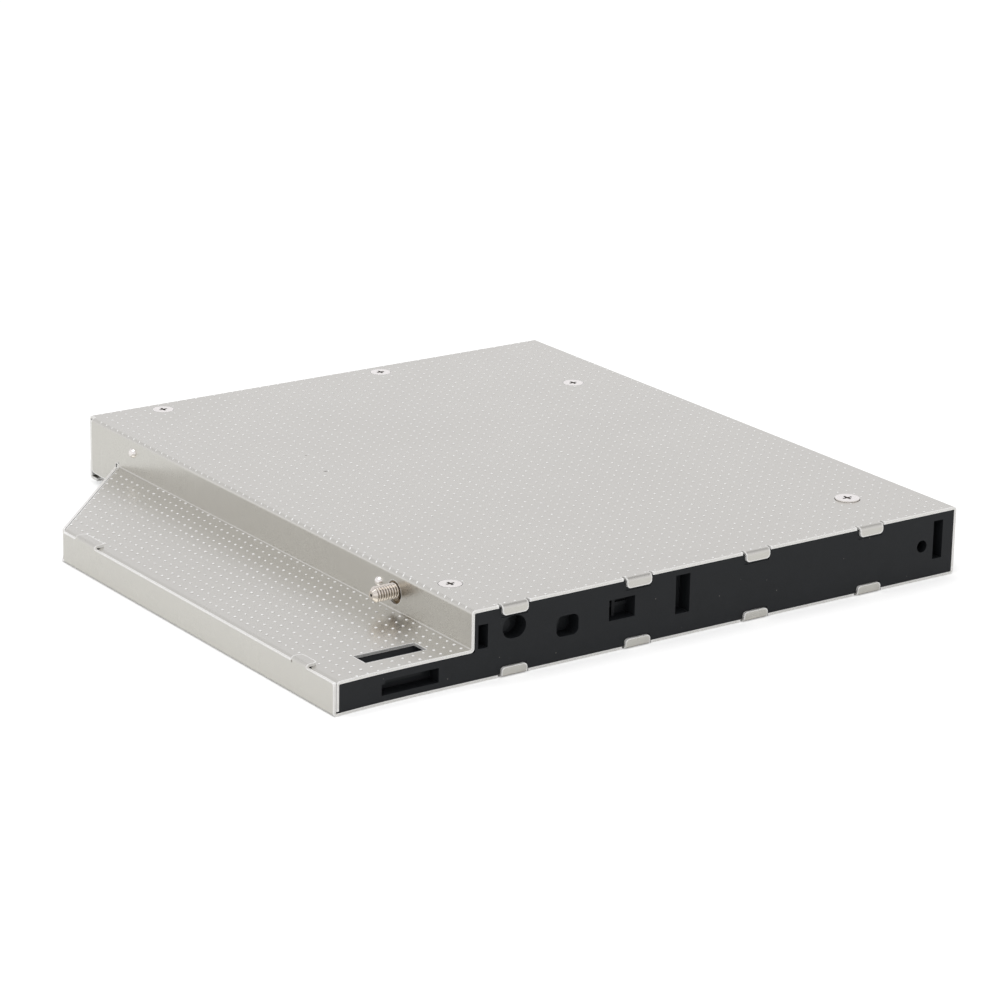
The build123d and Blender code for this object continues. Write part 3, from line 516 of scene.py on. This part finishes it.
def metal(name, face, edge, roughness, grain=6000.0, stretch=(1.0, 1.0, 1.0), relief=0.00001,
          radius=0.0002, spread=0.05, tint=0.04, scratch=0.35, metallic=1.0,
          gap_shade_colour=None, gap=0.00014, gap_open=0.62, gap_shut=0.24):
    """Metal with grain, smudges and bright worn edges, and with painted shade in its gaps."""
    material, graph, shader = blank_material(name)
    fine = use(graph, "Fine grain", grain_group, Scale=grain, Stretch=stretch)["Value"]
    marks = use(graph, "Handling marks", handling_group)
    worn = use(graph, "Edge wear", edge_wear_group, Radius=radius)["Mask"]
    darker = tuple(c * (1.0 - tint) for c in face)
    lighter = tuple(min(1.0, c * (1.0 + tint)) for c in face)
    look = graph.mix(graph.ramp(fine, *NARROW), rgba(darker), rgba(lighter))
    look = graph.mix(graph.math("MULTIPLY", marks["Scratch"], scratch), look, rgba(edge))
    look = graph.mix(worn, look, rgba(edge))
    # Painted shade: the metal's narrow gaps are darkened towards the given colour
    if gap_shade_colour:
        gap_shade_mask = use(graph, "Painted gap shade", gap_shade_group, Reach=gap, Open=gap_open, Shut=gap_shut)["Mask"]
        look = graph.mix(graph.math("MULTIPLY", gap_shade_mask, GAP_SHADE_COVER), look, rgba(gap_shade_colour))
    graph.feed(shader.inputs["Base Color"], look)
    uneven_roughness(graph, shader, fine, roughness, spread, marks["Smudge"])
    shader.inputs["Metallic"].default_value = metallic
    bump(graph, shader, fine, relief)
    return material


def paler(face, factor, lift):
    """Lighter shade of a dark colour."""
    return tuple(min(1.0, c * factor + lift) for c in face)


def moulded(name, face, roughness, grain=5000.0, relief=0.00001, spread=0.06, lighter=1.6,
            lift=0.004, rim_wear_and_highlight=2.2, rim_wear_and_highlight_lift=0.01, smudge=0.12, specular=0.3,
            radius=0.00015, dust=None, tracks=None):
    """Moulded plastic with fine spark-eroded grain, slightly paler edges for wear and a painted highlight,
    and sparse dust.
    """
    material, graph, shader = blank_material(name)
    fine = use(graph, "Fine grain", grain_group, Scale=grain, Coarse=0.4)["Value"]
    marks = use(graph, "Handling marks", handling_group, Scratches=0.25)
    worn = use(graph, "Edge wear", edge_wear_group, Radius=radius, Evenness=0.3)["Mask"]
    pale = paler(face, lighter, lift)
    look = graph.mix(graph.ramp(fine, *WIDE), rgba(face), rgba(pale))
    look = graph.mix(graph.math("MULTIPLY", marks["Smudge"], smudge), look, rgba(pale))
    # Paler edges: partly wear, partly a painted highlight on the rims
    look = graph.mix(worn, look, rgba(paler(face, rim_wear_and_highlight, rim_wear_and_highlight_lift)))
    if tracks:
        look = graph.mix(use(graph, "Copper tracks", track_group)["Mask"], look, rgba(tracks))
    if dust:
        look = graph.mix(use(graph, "Dust specks", speck_group)["Mask"], look, rgba(dust))
    graph.feed(shader.inputs["Base Color"], look)
    uneven_roughness(graph, shader, fine, roughness, spread)
    shader.inputs["Specular IOR Level"].default_value = specular
    bump(graph, shader, fine, relief, strength=0.6)
    return material


def wear(material, *names):
    """Gives CAD nodes a material in place of their plain one."""
    for name in names:
        slots = NODES[name].data.materials
        slots.clear()
        slots.append(material)


def finished(name, mesh, body, material):
    """Links a mesh with its material as a piece that rides on a body."""
    mesh.materials.append(material)
    piece = bpy.data.objects.new(name, mesh)
    bpy.context.scene.collection.objects.link(piece)
    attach(piece, body)
    return piece


def smooth_by_angle(mesh, limit):
    """Shades a mesh smooth apart from its sharp edges."""
    shape = bmesh.new()
    shape.from_mesh(mesh)
    for face in shape.faces:
        face.smooth = True
    for edge in shape.edges:
        edge.smooth = len(edge.link_faces) == 2 and edge.calc_face_angle(math.pi) < limit
    shape.to_mesh(mesh)
    shape.free()


# Raised dots


def flat_region(name, height):
    """The sheet's upward faces at one height, as a mesh of its own."""
    source = NODES["top_shell"].data
    shape = bmesh.new()
    shape.from_mesh(source)
    away = [
        face for face in shape.faces
        if face.normal.z < UPWARD or abs(face.calc_center_median().z - height) > SAME_LEVEL
    ]
    bmesh.ops.delete(shape, geom=away, context="FACES")
    bmesh.ops.remove_doubles(shape, verts=shape.verts, dist=SAME_POINT)
    mesh = bpy.data.meshes.new(name)
    shape.to_mesh(mesh)
    shape.free()
    return mesh


def geometry_tree(name, inputs):
    """Empty geometry tree with named inputs, where None stands for a material, and its graph."""
    tree = bpy.data.node_groups.new(name, "GeometryNodeTree")
    kinds = {float: "NodeSocketFloat", int: "NodeSocketInt", tuple: "NodeSocketVector"}
    tree.interface.new_socket(name="Geometry", in_out="INPUT", socket_type="NodeSocketGeometry")
    for label, default in inputs.items():
        if default is None:
            tree.interface.new_socket(name=label, in_out="INPUT", socket_type="NodeSocketMaterial")
            continue
        item = tree.interface.new_socket(name=label, in_out="INPUT", socket_type=kinds[type(default)])
        item.default_value = default
    tree.interface.new_socket(name="Geometry", in_out="OUTPUT", socket_type="NodeSocketGeometry")
    graph = Graph(tree)
    entry = graph.add("NodeGroupInput").outputs
    out = graph.add("NodeGroupOutput").inputs
    return tree, graph, entry, out


def dot_shape(graph, entry):
    """Low dot with a flat top, its foot just inside the sheet."""
    radius = graph.math("MULTIPLY", entry["Diameter"], 0.5)
    top = graph.math("MULTIPLY", radius, entry["Top"])
    cone = graph.add(
        "GeometryNodeMeshCone",
        {"Vertices": entry["Sides"], "Radius Top": top, "Radius Bottom": radius, "Depth": entry["Height"]},
    )
    return cone.outputs["Mesh"]


def dots_on(graph, entry, points, shape):
    """Dots of slightly different sizes on points, made real and given their material."""
    # Sockets of a Random Value node that draws decimal numbers
    lowest, highest, drawn = 2, 3, 1
    size = graph.add(
        "FunctionNodeRandomValue",
        {lowest: entry["Smallest"], highest: entry["Largest"], "Seed": entry["Seed"]},
        data_type="FLOAT",
    )
    dots = graph.add(
        "GeometryNodeInstanceOnPoints",
        {"Points": points, "Instance": shape, "Scale": size.outputs[drawn]},
    )
    real = graph.add("GeometryNodeRealizeInstances", {"Geometry": dots.outputs[0]})
    smooth = graph.add("GeometryNodeSetShadeSmooth", {"Geometry": real.outputs[0]})
    return graph.add(
        "GeometryNodeSetMaterial", {"Geometry": smooth.outputs[0], "Material": entry["Material"]}
    ).outputs[0]


def lattice_tree():
    """Dots at even pitch over a flat region, kept off its edges and holes."""
    inputs = {"Pitch": (0.002, 0.002, 1.0), "Origin": (0.0, 0.0, 0.0), "Lean Across": 0.0,
              "Lean Along": 0.0, "Diameter": 0.0004, "Height": 0.00005, "Top": 0.7, "Sides": 8,
              "Smallest": 0.82, "Largest": 1.12, "Margin": 0.0003, "Bare From": 1.0, "Seed": 1,
              "Material": None}
    spare_before, spare_after = (2.0, 2.0, 0.0), (3.0, 3.0, 0.0)
    level, half, upright = (1.0, 1.0, 0.0), (0.5, 0.5, 0.0), (0.0, 0.0, 1.0)
    tree, graph, entry, out = geometry_tree("Dot lattice", inputs)
    region = entry["Geometry"]
    box = graph.add("GeometryNodeBoundBox", {"Geometry": region}).outputs
    steps = graph.vector("DIVIDE", graph.vector("SUBTRACT", box["Min"], entry["Origin"]), entry["Pitch"])
    back = graph.vector("FLOOR", graph.vector("SUBTRACT", steps, spare_before))
    first = graph.vector("ADD", entry["Origin"], graph.vector("MULTIPLY", back, entry["Pitch"]))
    reach = graph.vector("DIVIDE", graph.vector("SUBTRACT", box["Max"], first), entry["Pitch"])
    count = graph.vector("ADD", graph.vector("CEIL", reach), spare_after)
    span = graph.vector("MULTIPLY", graph.vector("SUBTRACT", count, level), entry["Pitch"])
    number = graph.add("ShaderNodeSeparateXYZ", {0: count}).outputs
    size = graph.add("ShaderNodeSeparateXYZ", {0: span}).outputs
    grid = graph.add(
        "GeometryNodeMeshGrid",
        {"Vertices X": number["X"], "Vertices Y": number["Y"], "Size X": size["X"], "Size Y": size["Y"]},
    )
    middle = graph.vector("ADD", first, graph.vector("MULTIPLY", span, half))
    flat = graph.vector("MULTIPLY", middle, level)
    top = graph.vector("MULTIPLY", box["Max"], upright)
    above = graph.vector("ADD", graph.vector("ADD", flat, top), (0.0, 0.0, LIFT))
    placed = graph.add("GeometryNodeTransform", {"Geometry": grid.outputs["Mesh"], "Translation": above})
    here = graph.add("GeometryNodeInputPosition").outputs[0]
    from_origin = graph.vector("SUBTRACT", here, entry["Origin"])
    away = graph.add("ShaderNodeSeparateXYZ", {0: from_origin}).outputs
    shift = graph.add(
        "ShaderNodeCombineXYZ",
        {"X": graph.math("MULTIPLY", away["Y"], entry["Lean Along"]),
         "Y": graph.math("MULTIPLY", away["X"], entry["Lean Across"])},
    ).outputs[0]
    leaning = graph.add("GeometryNodeSetPosition", {"Geometry": placed.outputs[0], "Offset": shift})
    hit = graph.add(
        "GeometryNodeRaycast",
        {"Target Geometry": region, "Source Position": here, "Ray Direction": DOWN, "Ray Length": RAY},
    )
    neighbours = graph.add("GeometryNodeInputMeshEdgeNeighbors").outputs[0]
    # Sockets of a Compare node that compares whole numbers: an edge of the rim has one face
    one_side, other_side = 2, 3
    rim_edges = graph.add(
        "FunctionNodeCompare", {one_side: neighbours, other_side: 1},
        data_type="INT", operation="EQUAL",
    ).outputs[0]
    rim = graph.add(
        "GeometryNodeSeparateGeometry", {"Geometry": region, "Selection": rim_edges}, domain="EDGE"
    ).outputs[0]
    near = graph.add("GeometryNodeProximity", {0: rim}, target_element="EDGES")
    graph.feed(near.inputs["Sample Position"], hit.outputs["Hit Position"])
    clear = graph.math("GREATER_THAN", near.outputs["Distance"], entry["Margin"])
    across = graph.add("ShaderNodeSeparateXYZ", {0: here}).outputs["X"]
    within = graph.math("LESS_THAN", across, entry["Bare From"])
    kept = graph.math("MULTIPLY", graph.math("MULTIPLY", clear, within), hit.outputs["Is Hit"])
    lost = graph.math("LESS_THAN", kept, 0.5)
    points = graph.add(
        "GeometryNodeDeleteGeometry", {"Geometry": leaning.outputs[0], "Selection": lost}, domain="POINT"
    )
    drop = graph.add(
        "GeometryNodeSetPosition", {"Geometry": points.outputs[0], "Offset": (0.0, 0.0, -LIFT)}
    )
    shape = dot_shape(graph, entry)
    graph.feed(out[0], dots_on(graph, entry, drop.outputs[0], shape))
    return tree


def nick_tree():
    """Row of long low nicks, laid down on the sheet below them."""
    inputs = {"Start": (0.0, 0.0, 0.0), "Step": (0.0, 0.002, 0.0), "Count": 1,
              "Size": (0.0005, 0.0001, 0.00006), "Turn": (0.0, 0.0, 0.0),
              "Segments": 8, "Rings": 6, "Material": None}
    level = (1.0, 1.0, 0.0)
    tree, graph, entry, out = geometry_tree("Bend nicks", inputs)
    line = graph.add(
        "GeometryNodeMeshLine",
        {"Count": entry["Count"], "Start Location": entry["Start"], "Offset": entry["Step"]},
    )
    ball = graph.add(
        "GeometryNodeMeshUVSphere",
        {"Segments": entry["Segments"], "Rings": entry["Rings"], "Radius": 1.0},
    )
    nicks = graph.add(
        "GeometryNodeInstanceOnPoints",
        {"Points": line.outputs[0], "Instance": ball.outputs[0], "Rotation": entry["Turn"],
         "Scale": entry["Size"]},
    )
    real = graph.add("GeometryNodeRealizeInstances", {"Geometry": nicks.outputs[0]})
    here = graph.add("GeometryNodeInputPosition").outputs[0]
    flat = graph.vector("MULTIPLY", here, level)
    start = graph.add("ShaderNodeSeparateXYZ", {0: entry["Start"]}).outputs["Z"]
    above = graph.add("ShaderNodeCombineXYZ", {"Z": graph.math("ADD", start, LIFT)}).outputs[0]
    hit = graph.add(
        "GeometryNodeRaycast",
        {"Target Geometry": entry["Geometry"], "Source Position": graph.vector("ADD", flat, above),
         "Ray Direction": DOWN, "Ray Length": RAY},
    )
    found = graph.add("ShaderNodeSeparateXYZ", {0: hit.outputs["Hit Position"]}).outputs["Z"]
    down = graph.math("MULTIPLY", graph.math("SUBTRACT", found, start), hit.outputs["Is Hit"])
    offset = graph.add("ShaderNodeCombineXYZ", {"Z": down}).outputs[0]
    laid = graph.add("GeometryNodeSetPosition", {"Geometry": real.outputs[0], "Offset": offset})
    smooth = graph.add("GeometryNodeSetShadeSmooth", {"Geometry": laid.outputs[0]})
    finish = graph.add(
        "GeometryNodeSetMaterial", {"Geometry": smooth.outputs[0], "Material": entry["Material"]}
    )
    graph.feed(out[0], finish.outputs[0])
    return tree


def bend_nicks(nicks, material):
    """Nicks along the step's bend: clear ones at the front and faint ones behind them."""
    tree = nick_tree()
    sheet = NODES["top_shell"].data
    rows = []
    x, y = STEP - nicks.reach * nicks.beyond, nicks.first
    faint = int((REAR - nicks.reach - y) / nicks.pitch) - nicks.clear
    for count, strength in ((nicks.clear, 1.0), (faint, nicks.faint)):
        size = (nicks.reach / 2 * strength, nicks.breadth / 2 * strength, nicks.proud * strength)
        rows.append(grown("bend_nicks", sheet, tree, {
            "Start": (x, y, ROOF), "Step": (0.0, nicks.pitch, 0.0), "Count": count, "Size": size,
            "Turn": (0.0, 0.0, nicks.slant), "Material": material}))
        y += count * nicks.pitch
    return rows


def grown(name, mesh, tree, values):
    """Runs a geometry tree on a mesh and returns the result as one plain mesh."""
    carrier = bpy.data.objects.new(name, mesh)
    bpy.context.scene.collection.objects.link(carrier)
    modifier = carrier.modifiers.new("Grow", "NODES")
    modifier.node_group = tree
    for item in tree.interface.items_tree:
        if item.in_out == "INPUT" and item.name in values:
            modifier[item.identifier] = values[item.name]
    evaluated = carrier.evaluated_get(bpy.context.evaluated_depsgraph_get())
    result = bpy.data.meshes.new_from_object(evaluated)
    bpy.data.objects.remove(carrier)
    result.name = name
    return result


def joined(name, meshes):
    """One mesh from several."""
    shape = bmesh.new()
    for mesh in meshes:
        shape.from_mesh(mesh)
    result = bpy.data.meshes.new(name)
    shape.to_mesh(result)
    shape.free()
    return result


# Release screw


def thread_radius(x, turn, x0, x1, sizes, outer):
    """Radius of the threaded rod at a place along it and an angle in turns."""
    phase = ((x - x0) / sizes.pitch - turn) % 1.0
    tooth = abs(2.0 * phase - 1.0)
    tooth = min(1.0, max(0.0, (tooth - sizes.flat) / (1.0 - 2.0 * sizes.flat)))
    radius = outer - sizes.depth * tooth
    taper = max(0.0, sizes.point - (x - x0), sizes.chamfer - (x1 - x))
    return min(radius, outer - taper)


def threaded_rod(sizes):
    """Rod with a real thread, chamfered ends and a hex socket in its outer end."""
    low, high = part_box("release_screw")
    outer = (high.z - low.z) / 2
    y, z = (low.y + high.y) / 2, (low.z + high.z) / 2
    x0, x1 = low.x, high.x
    sides, rings = sizes.sides, sizes.rings
    shape = bmesh.new()
    grid = []
    for i in range(rings + 1):
        x = x0 + (x1 - x0) * i / rings
        ring = []
        for j in range(sides):
            turn = j / sides
            radius = thread_radius(x, turn, x0, x1, sizes, outer)
            angle = 2.0 * math.pi * turn
            ring.append(shape.verts.new((x, y + radius * math.cos(angle), z + radius * math.sin(angle))))
        grid.append(ring)
    for ring, after in zip(grid, grid[1:]):
        for j in range(sides):
            k = (j + 1) % sides
            shape.faces.new((ring[j], ring[k], after[k], after[j]))
    shape.faces.new(grid[-1])
    mouth = hexagon(shape, x0, y, z, sizes.socket, sides)
    floor = hexagon(shape, x0 + sizes.socket_depth, y, z, sizes.socket, sides)
    for j in range(sides):
        k = (j + 1) % sides
        shape.faces.new((grid[0][k], grid[0][j], mouth[j], mouth[k]))
        shape.faces.new((mouth[k], mouth[j], floor[j], floor[k]))
    shape.faces.new(floor)
    bmesh.ops.recalc_face_normals(shape, faces=shape.faces)
    mesh = bpy.data.meshes.new("release_screw_thread")
    shape.to_mesh(mesh)
    shape.free()
    smooth_by_angle(mesh, sizes.smooth)
    return mesh


def hexagon(shape, x, y, z, flats, sides):
    """Ring of points on a hexagon's outline, one for each point of the rod's ring."""
    sixth = math.pi / 3
    ring = []
    for j in range(sides):
        angle = 2.0 * math.pi * j / sides
        within = (angle + sixth / 2) % sixth - sixth / 2
        radius = flats / 2 / math.cos(within)
        ring.append(shape.verts.new((x, y + radius * math.cos(angle), z + radius * math.sin(angle))))
    return ring


# Operators


class CADDY_OT_sheets(Operator):
    """Gives the two folded sheets their satin metal with bright cut edges"""

    bl_idname = "caddy.sheets"
    bl_label = "Folded sheets"

    def execute(self, context):
        sheet = satin_sheet("Satin sheet", context.scene.caddy_colours, roughness=0.28)
        wear(sheet, "top_shell", "bottom_shell")
        return {"FINISHED"}


class CADDY_OT_dots(Operator):
    """Covers the roof and the ledge with small raised dots, and the step's bend with nicks"""

    bl_idname = "caddy.dots"
    bl_label = "Raised dots"

    def execute(self, context):
        dots, colours = context.scene.caddy_dots, context.scene.caddy_colours
        # Painted highlight: the dots and nicks get a near-white, barely metallic finish that partly stands
        # in for their glints
        bright = metal("Bump with painted glint", colours.dot, colours.dot, roughness=0.35, relief=0.000002,
                       spread=0.03, tint=0.01, metallic=BRIGHT_METALLIC)
        common = {"Margin": dots.margin, "Seed": dots.seed, "Material": bright}
        tree = lattice_tree()
        roof = grown("roof_dots", flat_region("roof", ROOF), tree, {
            **common, "Pitch": (dots.pitch_across, dots.pitch_along, 1.0),
            "Diameter": dots.roof_diameter, "Height": dots.roof_proud,
            "Origin": tuple(dots.roof_dot), "Lean Along": dots.roof_lean})
        ledge = grown("ledge_dots", flat_region("ledge", LEDGE), tree, {
            **common, "Pitch": (dots.ledge_across, dots.ledge_along, 1.0),
            "Diameter": dots.ledge_diameter, "Height": dots.ledge_proud,
            "Origin": tuple(dots.ledge_dot), "Lean Across": dots.ledge_lean_across,
            "Lean Along": dots.ledge_lean_along, "Bare From": STEP - dots.bare_foot})
        nicks = bend_nicks(context.scene.caddy_nicks, bright)
        mesh = joined("raised_dots", [roof, ledge, *nicks])
        finished("raised_dots", mesh, "caddy", bright)
        return {"FINISHED"}


class CADDY_OT_mouldings(Operator):
    """Gives the panel and the moulded frames their matt black plastic"""

    bl_idname = "caddy.mouldings"
    bl_label = "Black mouldings"

    def execute(self, context):
        colours = context.scene.caddy_colours
        plastic = moulded("Matt moulding", colours.moulding, roughness=0.55, specular=0.27,
                          dust=colours.dust)
        wear(plastic, "front_panel", "front_rail", "rear_frame")
        return {"FINISHED"}


class CADDY_OT_release_screw(Operator):
    """Cuts a real thread on the release screw and finishes it in nickel"""

    bl_idname = "caddy.release_screw"
    bl_label = "Release screw"

    def execute(self, context):
        colours = context.scene.caddy_colours
        # Painted shade: the roots of the thread are darkened towards the dark brown
        nickel = metal("Nickel thread", colours.nickel, colours.cut_edge, roughness=0.10,
                       relief=0.000002, radius=0.00004, spread=0.03, gap_shade_colour=colours.seam,
                       gap=0.0003, gap_open=0.82, gap_shut=0.38)
        screw = finished("release_screw_thread", threaded_rod(context.scene.caddy_thread),
                         "release_screw", nickel)
        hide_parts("release_screw")
        return {"FINISHED"}


class CADDY_OT_fasteners(Operator):
    """Finishes the screws, rivets, inserts, nut plate and standoffs"""

    bl_idname = "caddy.fasteners"
    bl_label = "Fasteners"

    def execute(self, context):
        colours = context.scene.caddy_colours
        # Painted shade: the narrow gaps round the zinc heads and rivets are darkened towards the dark
        # brown
        zinc = metal("Zinc plate", colours.zinc, colours.cut_edge, roughness=0.20, radius=0.0001,
                     gap_shade_colour=colours.seam, gap=0.00018, gap_open=0.70)
        nickel = metal("Nickel plate", colours.nickel, colours.cut_edge, roughness=0.20, radius=0.00012)
        # Painted shade: the nut plate is darker than yellow passivated steel, so that the screw hole in
        # front of it looks dark
        plate = metal("Yellow passivated steel", colours.plate, colours.nickel, roughness=0.34)
        steel = metal("Plated steel", colours.steel, colours.zinc, roughness=0.36)
        brass = metal("Turned brass", colours.brass, colours.brass, roughness=0.30,
                      stretch=(1.0, 1.0, 8.0))
        wear(zinc, "shell_screws", "rail_screws", "underside_screws", "nut_plate_rivets")
        wear(nickel, "board_screws")
        wear(plate, "nut_plate")
        wear(steel, "board_standoffs")
        wear(brass, "boss_inserts")
        return {"FINISHED"}


class CADDY_OT_board(Operator):
    """Finishes the circuit board, its film, chips and soldered tails"""

    bl_idname = "caddy.board"
    bl_label = "Circuit board"

    def execute(self, context):
        colours = context.scene.caddy_colours
        mask = moulded("Solder mask", colours.board, roughness=0.35, grain=2500.0, lighter=1.5,
                       specular=0.5, tracks=colours.trace)
        film = moulded("Insulating film", colours.film, roughness=0.30, grain=900.0, specular=0.5)
        ceramic = moulded("Ceramic", colours.ceramic, roughness=0.5)
        resistor = moulded("Resistor", colours.resistor, roughness=0.45)
        solder = metal("Tinned solder", colours.solder, colours.solder, roughness=0.3)
        wear(mask, "circuit_board")
        wear(film, "insulating_film")
        wear(ceramic, "board_capacitors")
        wear(resistor, "board_resistors")
        wear(solder, "solder_tails")
        return {"FINISHED"}


class CADDY_OT_connectors(Operator):
    """Finishes the drive receptacle, the bay plug and their contacts"""

    bl_idname = "caddy.connectors"
    bl_label = "Connectors"

    def execute(self, context):
        colours = context.scene.caddy_colours
        body = moulded("Connector plastic", colours.connector, roughness=0.42, specular=0.4)
        gold = metal("Gold contact", colours.gold, colours.gold, roughness=0.22)
        wear(body, "drive_receptacle", "bay_plug")
        wear(gold, "receptacle_contacts", "plug_contacts")
        return {"FINISHED"}


class CADDY_OT_stage(Operator):
    """Sets the floor, the lamp, the surroundings and the camera"""

    bl_idname = "caddy.stage"
    bl_label = "Stage"

    def execute(self, context):
        stage = context.scene.caddy_stage
        pale_floor(stage)
        surroundings(context, stage)
        lamp("key", stage.key, stage.key_size, stage.key_place)
        camera(context, stage)
        context.scene.view_settings.view_transform = "Standard"
        return {"FINISHED"}


def seen_rays(graph, mirrored=1.0):
    """Weight of the rays that show the background: camera, reflection and transmission."""
    rays = graph.add("ShaderNodeLightPath").outputs
    reflected = graph.math("MULTIPLY", rays["Is Glossy Ray"], mirrored)
    seen = graph.math("MAXIMUM", rays["Is Camera Ray"], reflected)
    return graph.math("MAXIMUM", seen, rays["Is Transmission Ray"])


def pale_floor(stage):
    """Wide pale floor that keeps the object's shadow."""
    patch_scale, patch_tint, roughness, sides = 40.0, 0.005, 0.9, 96
    material, graph, shader = blank_material("Pale floor")
    shader.inputs["Roughness"].default_value = roughness
    shader.inputs["Specular IOR Level"].default_value = 0.0
    place = graph.add("ShaderNodeTexCoord").outputs["Object"]
    patches = graph.add("ShaderNodeTexNoise", {"Vector": place, "Scale": patch_scale, "Detail": 3.0})
    darker = tuple(c * (1.0 - patch_tint) for c in stage.floor)
    look = graph.mix(patches.outputs["Fac"], rgba(stage.floor), rgba(darker))
    graph.feed(shader.inputs["Base Color"], look)
    shader.inputs["Emission Color"].default_value = WHITE
    seen = seen_rays(graph, stage.mirrored)
    graph.feed(shader.inputs["Emission Strength"], graph.math("MULTIPLY", seen, stage.glow))
    shape = bmesh.new()
    bmesh.ops.create_circle(
        shape, cap_ends=True, radius=stage.floor_radius, segments=sides,
        matrix=Matrix.Translation((0.0, 0.0, -FLOOR_DROP)),
    )
    mesh = bpy.data.meshes.new("floor")
    shape.to_mesh(mesh)
    shape.free()
    mesh.materials.append(material)
    floor = bpy.data.objects.new("floor", mesh)
    bpy.context.scene.collection.objects.link(floor)


def surroundings(context, stage):
    """World that is white to the camera, toned by height in reflections, and plain light otherwise."""
    world = bpy.data.worlds.new("Surroundings")
    world.use_nodes = True
    context.scene.world = world
    graph = Graph(world.node_tree)
    sky = world.node_tree.nodes["Background"]
    direction = graph.add("ShaderNodeTexCoord").outputs["Generated"]
    rise = graph.add("ShaderNodeSeparateXYZ", {0: direction}).outputs["Z"]
    tones = graph.add("ShaderNodeValToRGB", {0: rise})
    stops = tones.color_ramp.elements
    while len(stops) < len(SKY_TONES):
        stops.new(1.0)
    for stop, (height, tone) in zip(stops, SKY_TONES):
        stop.position = height
        stop.color = rgba(tone * part for part in SKY_TINT)
    glossy = graph.add("ShaderNodeLightPath").outputs["Is Glossy Ray"]
    shown = graph.mix(glossy, WHITE, tones.outputs[0])
    graph.feed(sky.inputs["Color"], shown)
    graph.feed(sky.inputs["Strength"], graph.ramp(seen_rays(graph), 0.0, 1.0, stage.world, 1.0))


def lamp(name, power, size, place):
    """Soft square lamp aimed at the object."""
    data = bpy.data.lights.new(name, "AREA")
    data.energy = power
    data.size = size
    made = bpy.data.objects.new(name, data)
    bpy.context.scene.collection.objects.link(made)
    made.location = place
    made.rotation_euler = (-place).to_track_quat("-Z", "Y").to_euler()


def camera(context, stage):
    """Camera at the photograph's viewing angle."""
    data = bpy.data.cameras.new("camera")
    data.lens = stage.lens
    data.sensor_width = stage.sensor
    data.clip_start = stage.near
    made = bpy.data.objects.new("camera", data)
    context.scene.collection.objects.link(made)
    made.location = stage.camera_place
    made.rotation_euler = stage.camera_turn
    context.scene.camera = made


# The steps in the order in which they run, and the groups of settings by their name on the scene

OPERATORS = (
    CADDY_OT_sheets,
    CADDY_OT_dots,
    CADDY_OT_mouldings,
    CADDY_OT_release_screw,
    CADDY_OT_fasteners,
    CADDY_OT_board,
    CADDY_OT_connectors,
    CADDY_OT_stage,
)
GROUPS = {
    "caddy_dots": CaddyDots,
    "caddy_nicks": CaddyNicks,
    "caddy_thread": CaddyThread,
    "caddy_colours": CaddyColours,
    "caddy_stage": CaddyStage,
}


class CADDY_PT_panel(Panel):
    """Lists the caddy's steps and its sizes and colours"""

    bl_idname = "CADDY_PT_panel"
    bl_label = "Drive caddy"
    bl_space_type = "VIEW_3D"
    bl_region_type = "UI"
    bl_category = "Caddy"

    def draw(self, context):
        """One button for each step, then one box for each group of settings."""
        for operator in OPERATORS:
            self.layout.operator(operator.bl_idname)
        for name, group in GROUPS.items():
            box = self.layout.box()
            for setting in group.__annotations__:
                box.prop(getattr(context.scene, name), setting)


def register():
    """Makes the settings, steps and panel known."""
    for group in GROUPS.values():
        bpy.utils.register_class(group)
    for name, group in GROUPS.items():
        setattr(bpy.types.Scene, name, PointerProperty(type=group))
    for item in (*OPERATORS, CADDY_PT_panel):
        bpy.utils.register_class(item)


def unregister():
    """Takes away what register made known."""
    for item in (CADDY_PT_panel, *reversed(OPERATORS)):
        bpy.utils.unregister_class(item)
    for name, group in GROUPS.items():
        delattr(bpy.types.Scene, name)
        bpy.utils.unregister_class(group)


def main():
    """Registers the add-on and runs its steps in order."""
    register()
    for operator in OPERATORS:
        space, name = operator.bl_idname.split(".")
        getattr(getattr(bpy.ops, space), name)()


if __name__ == "__main__":
    main()
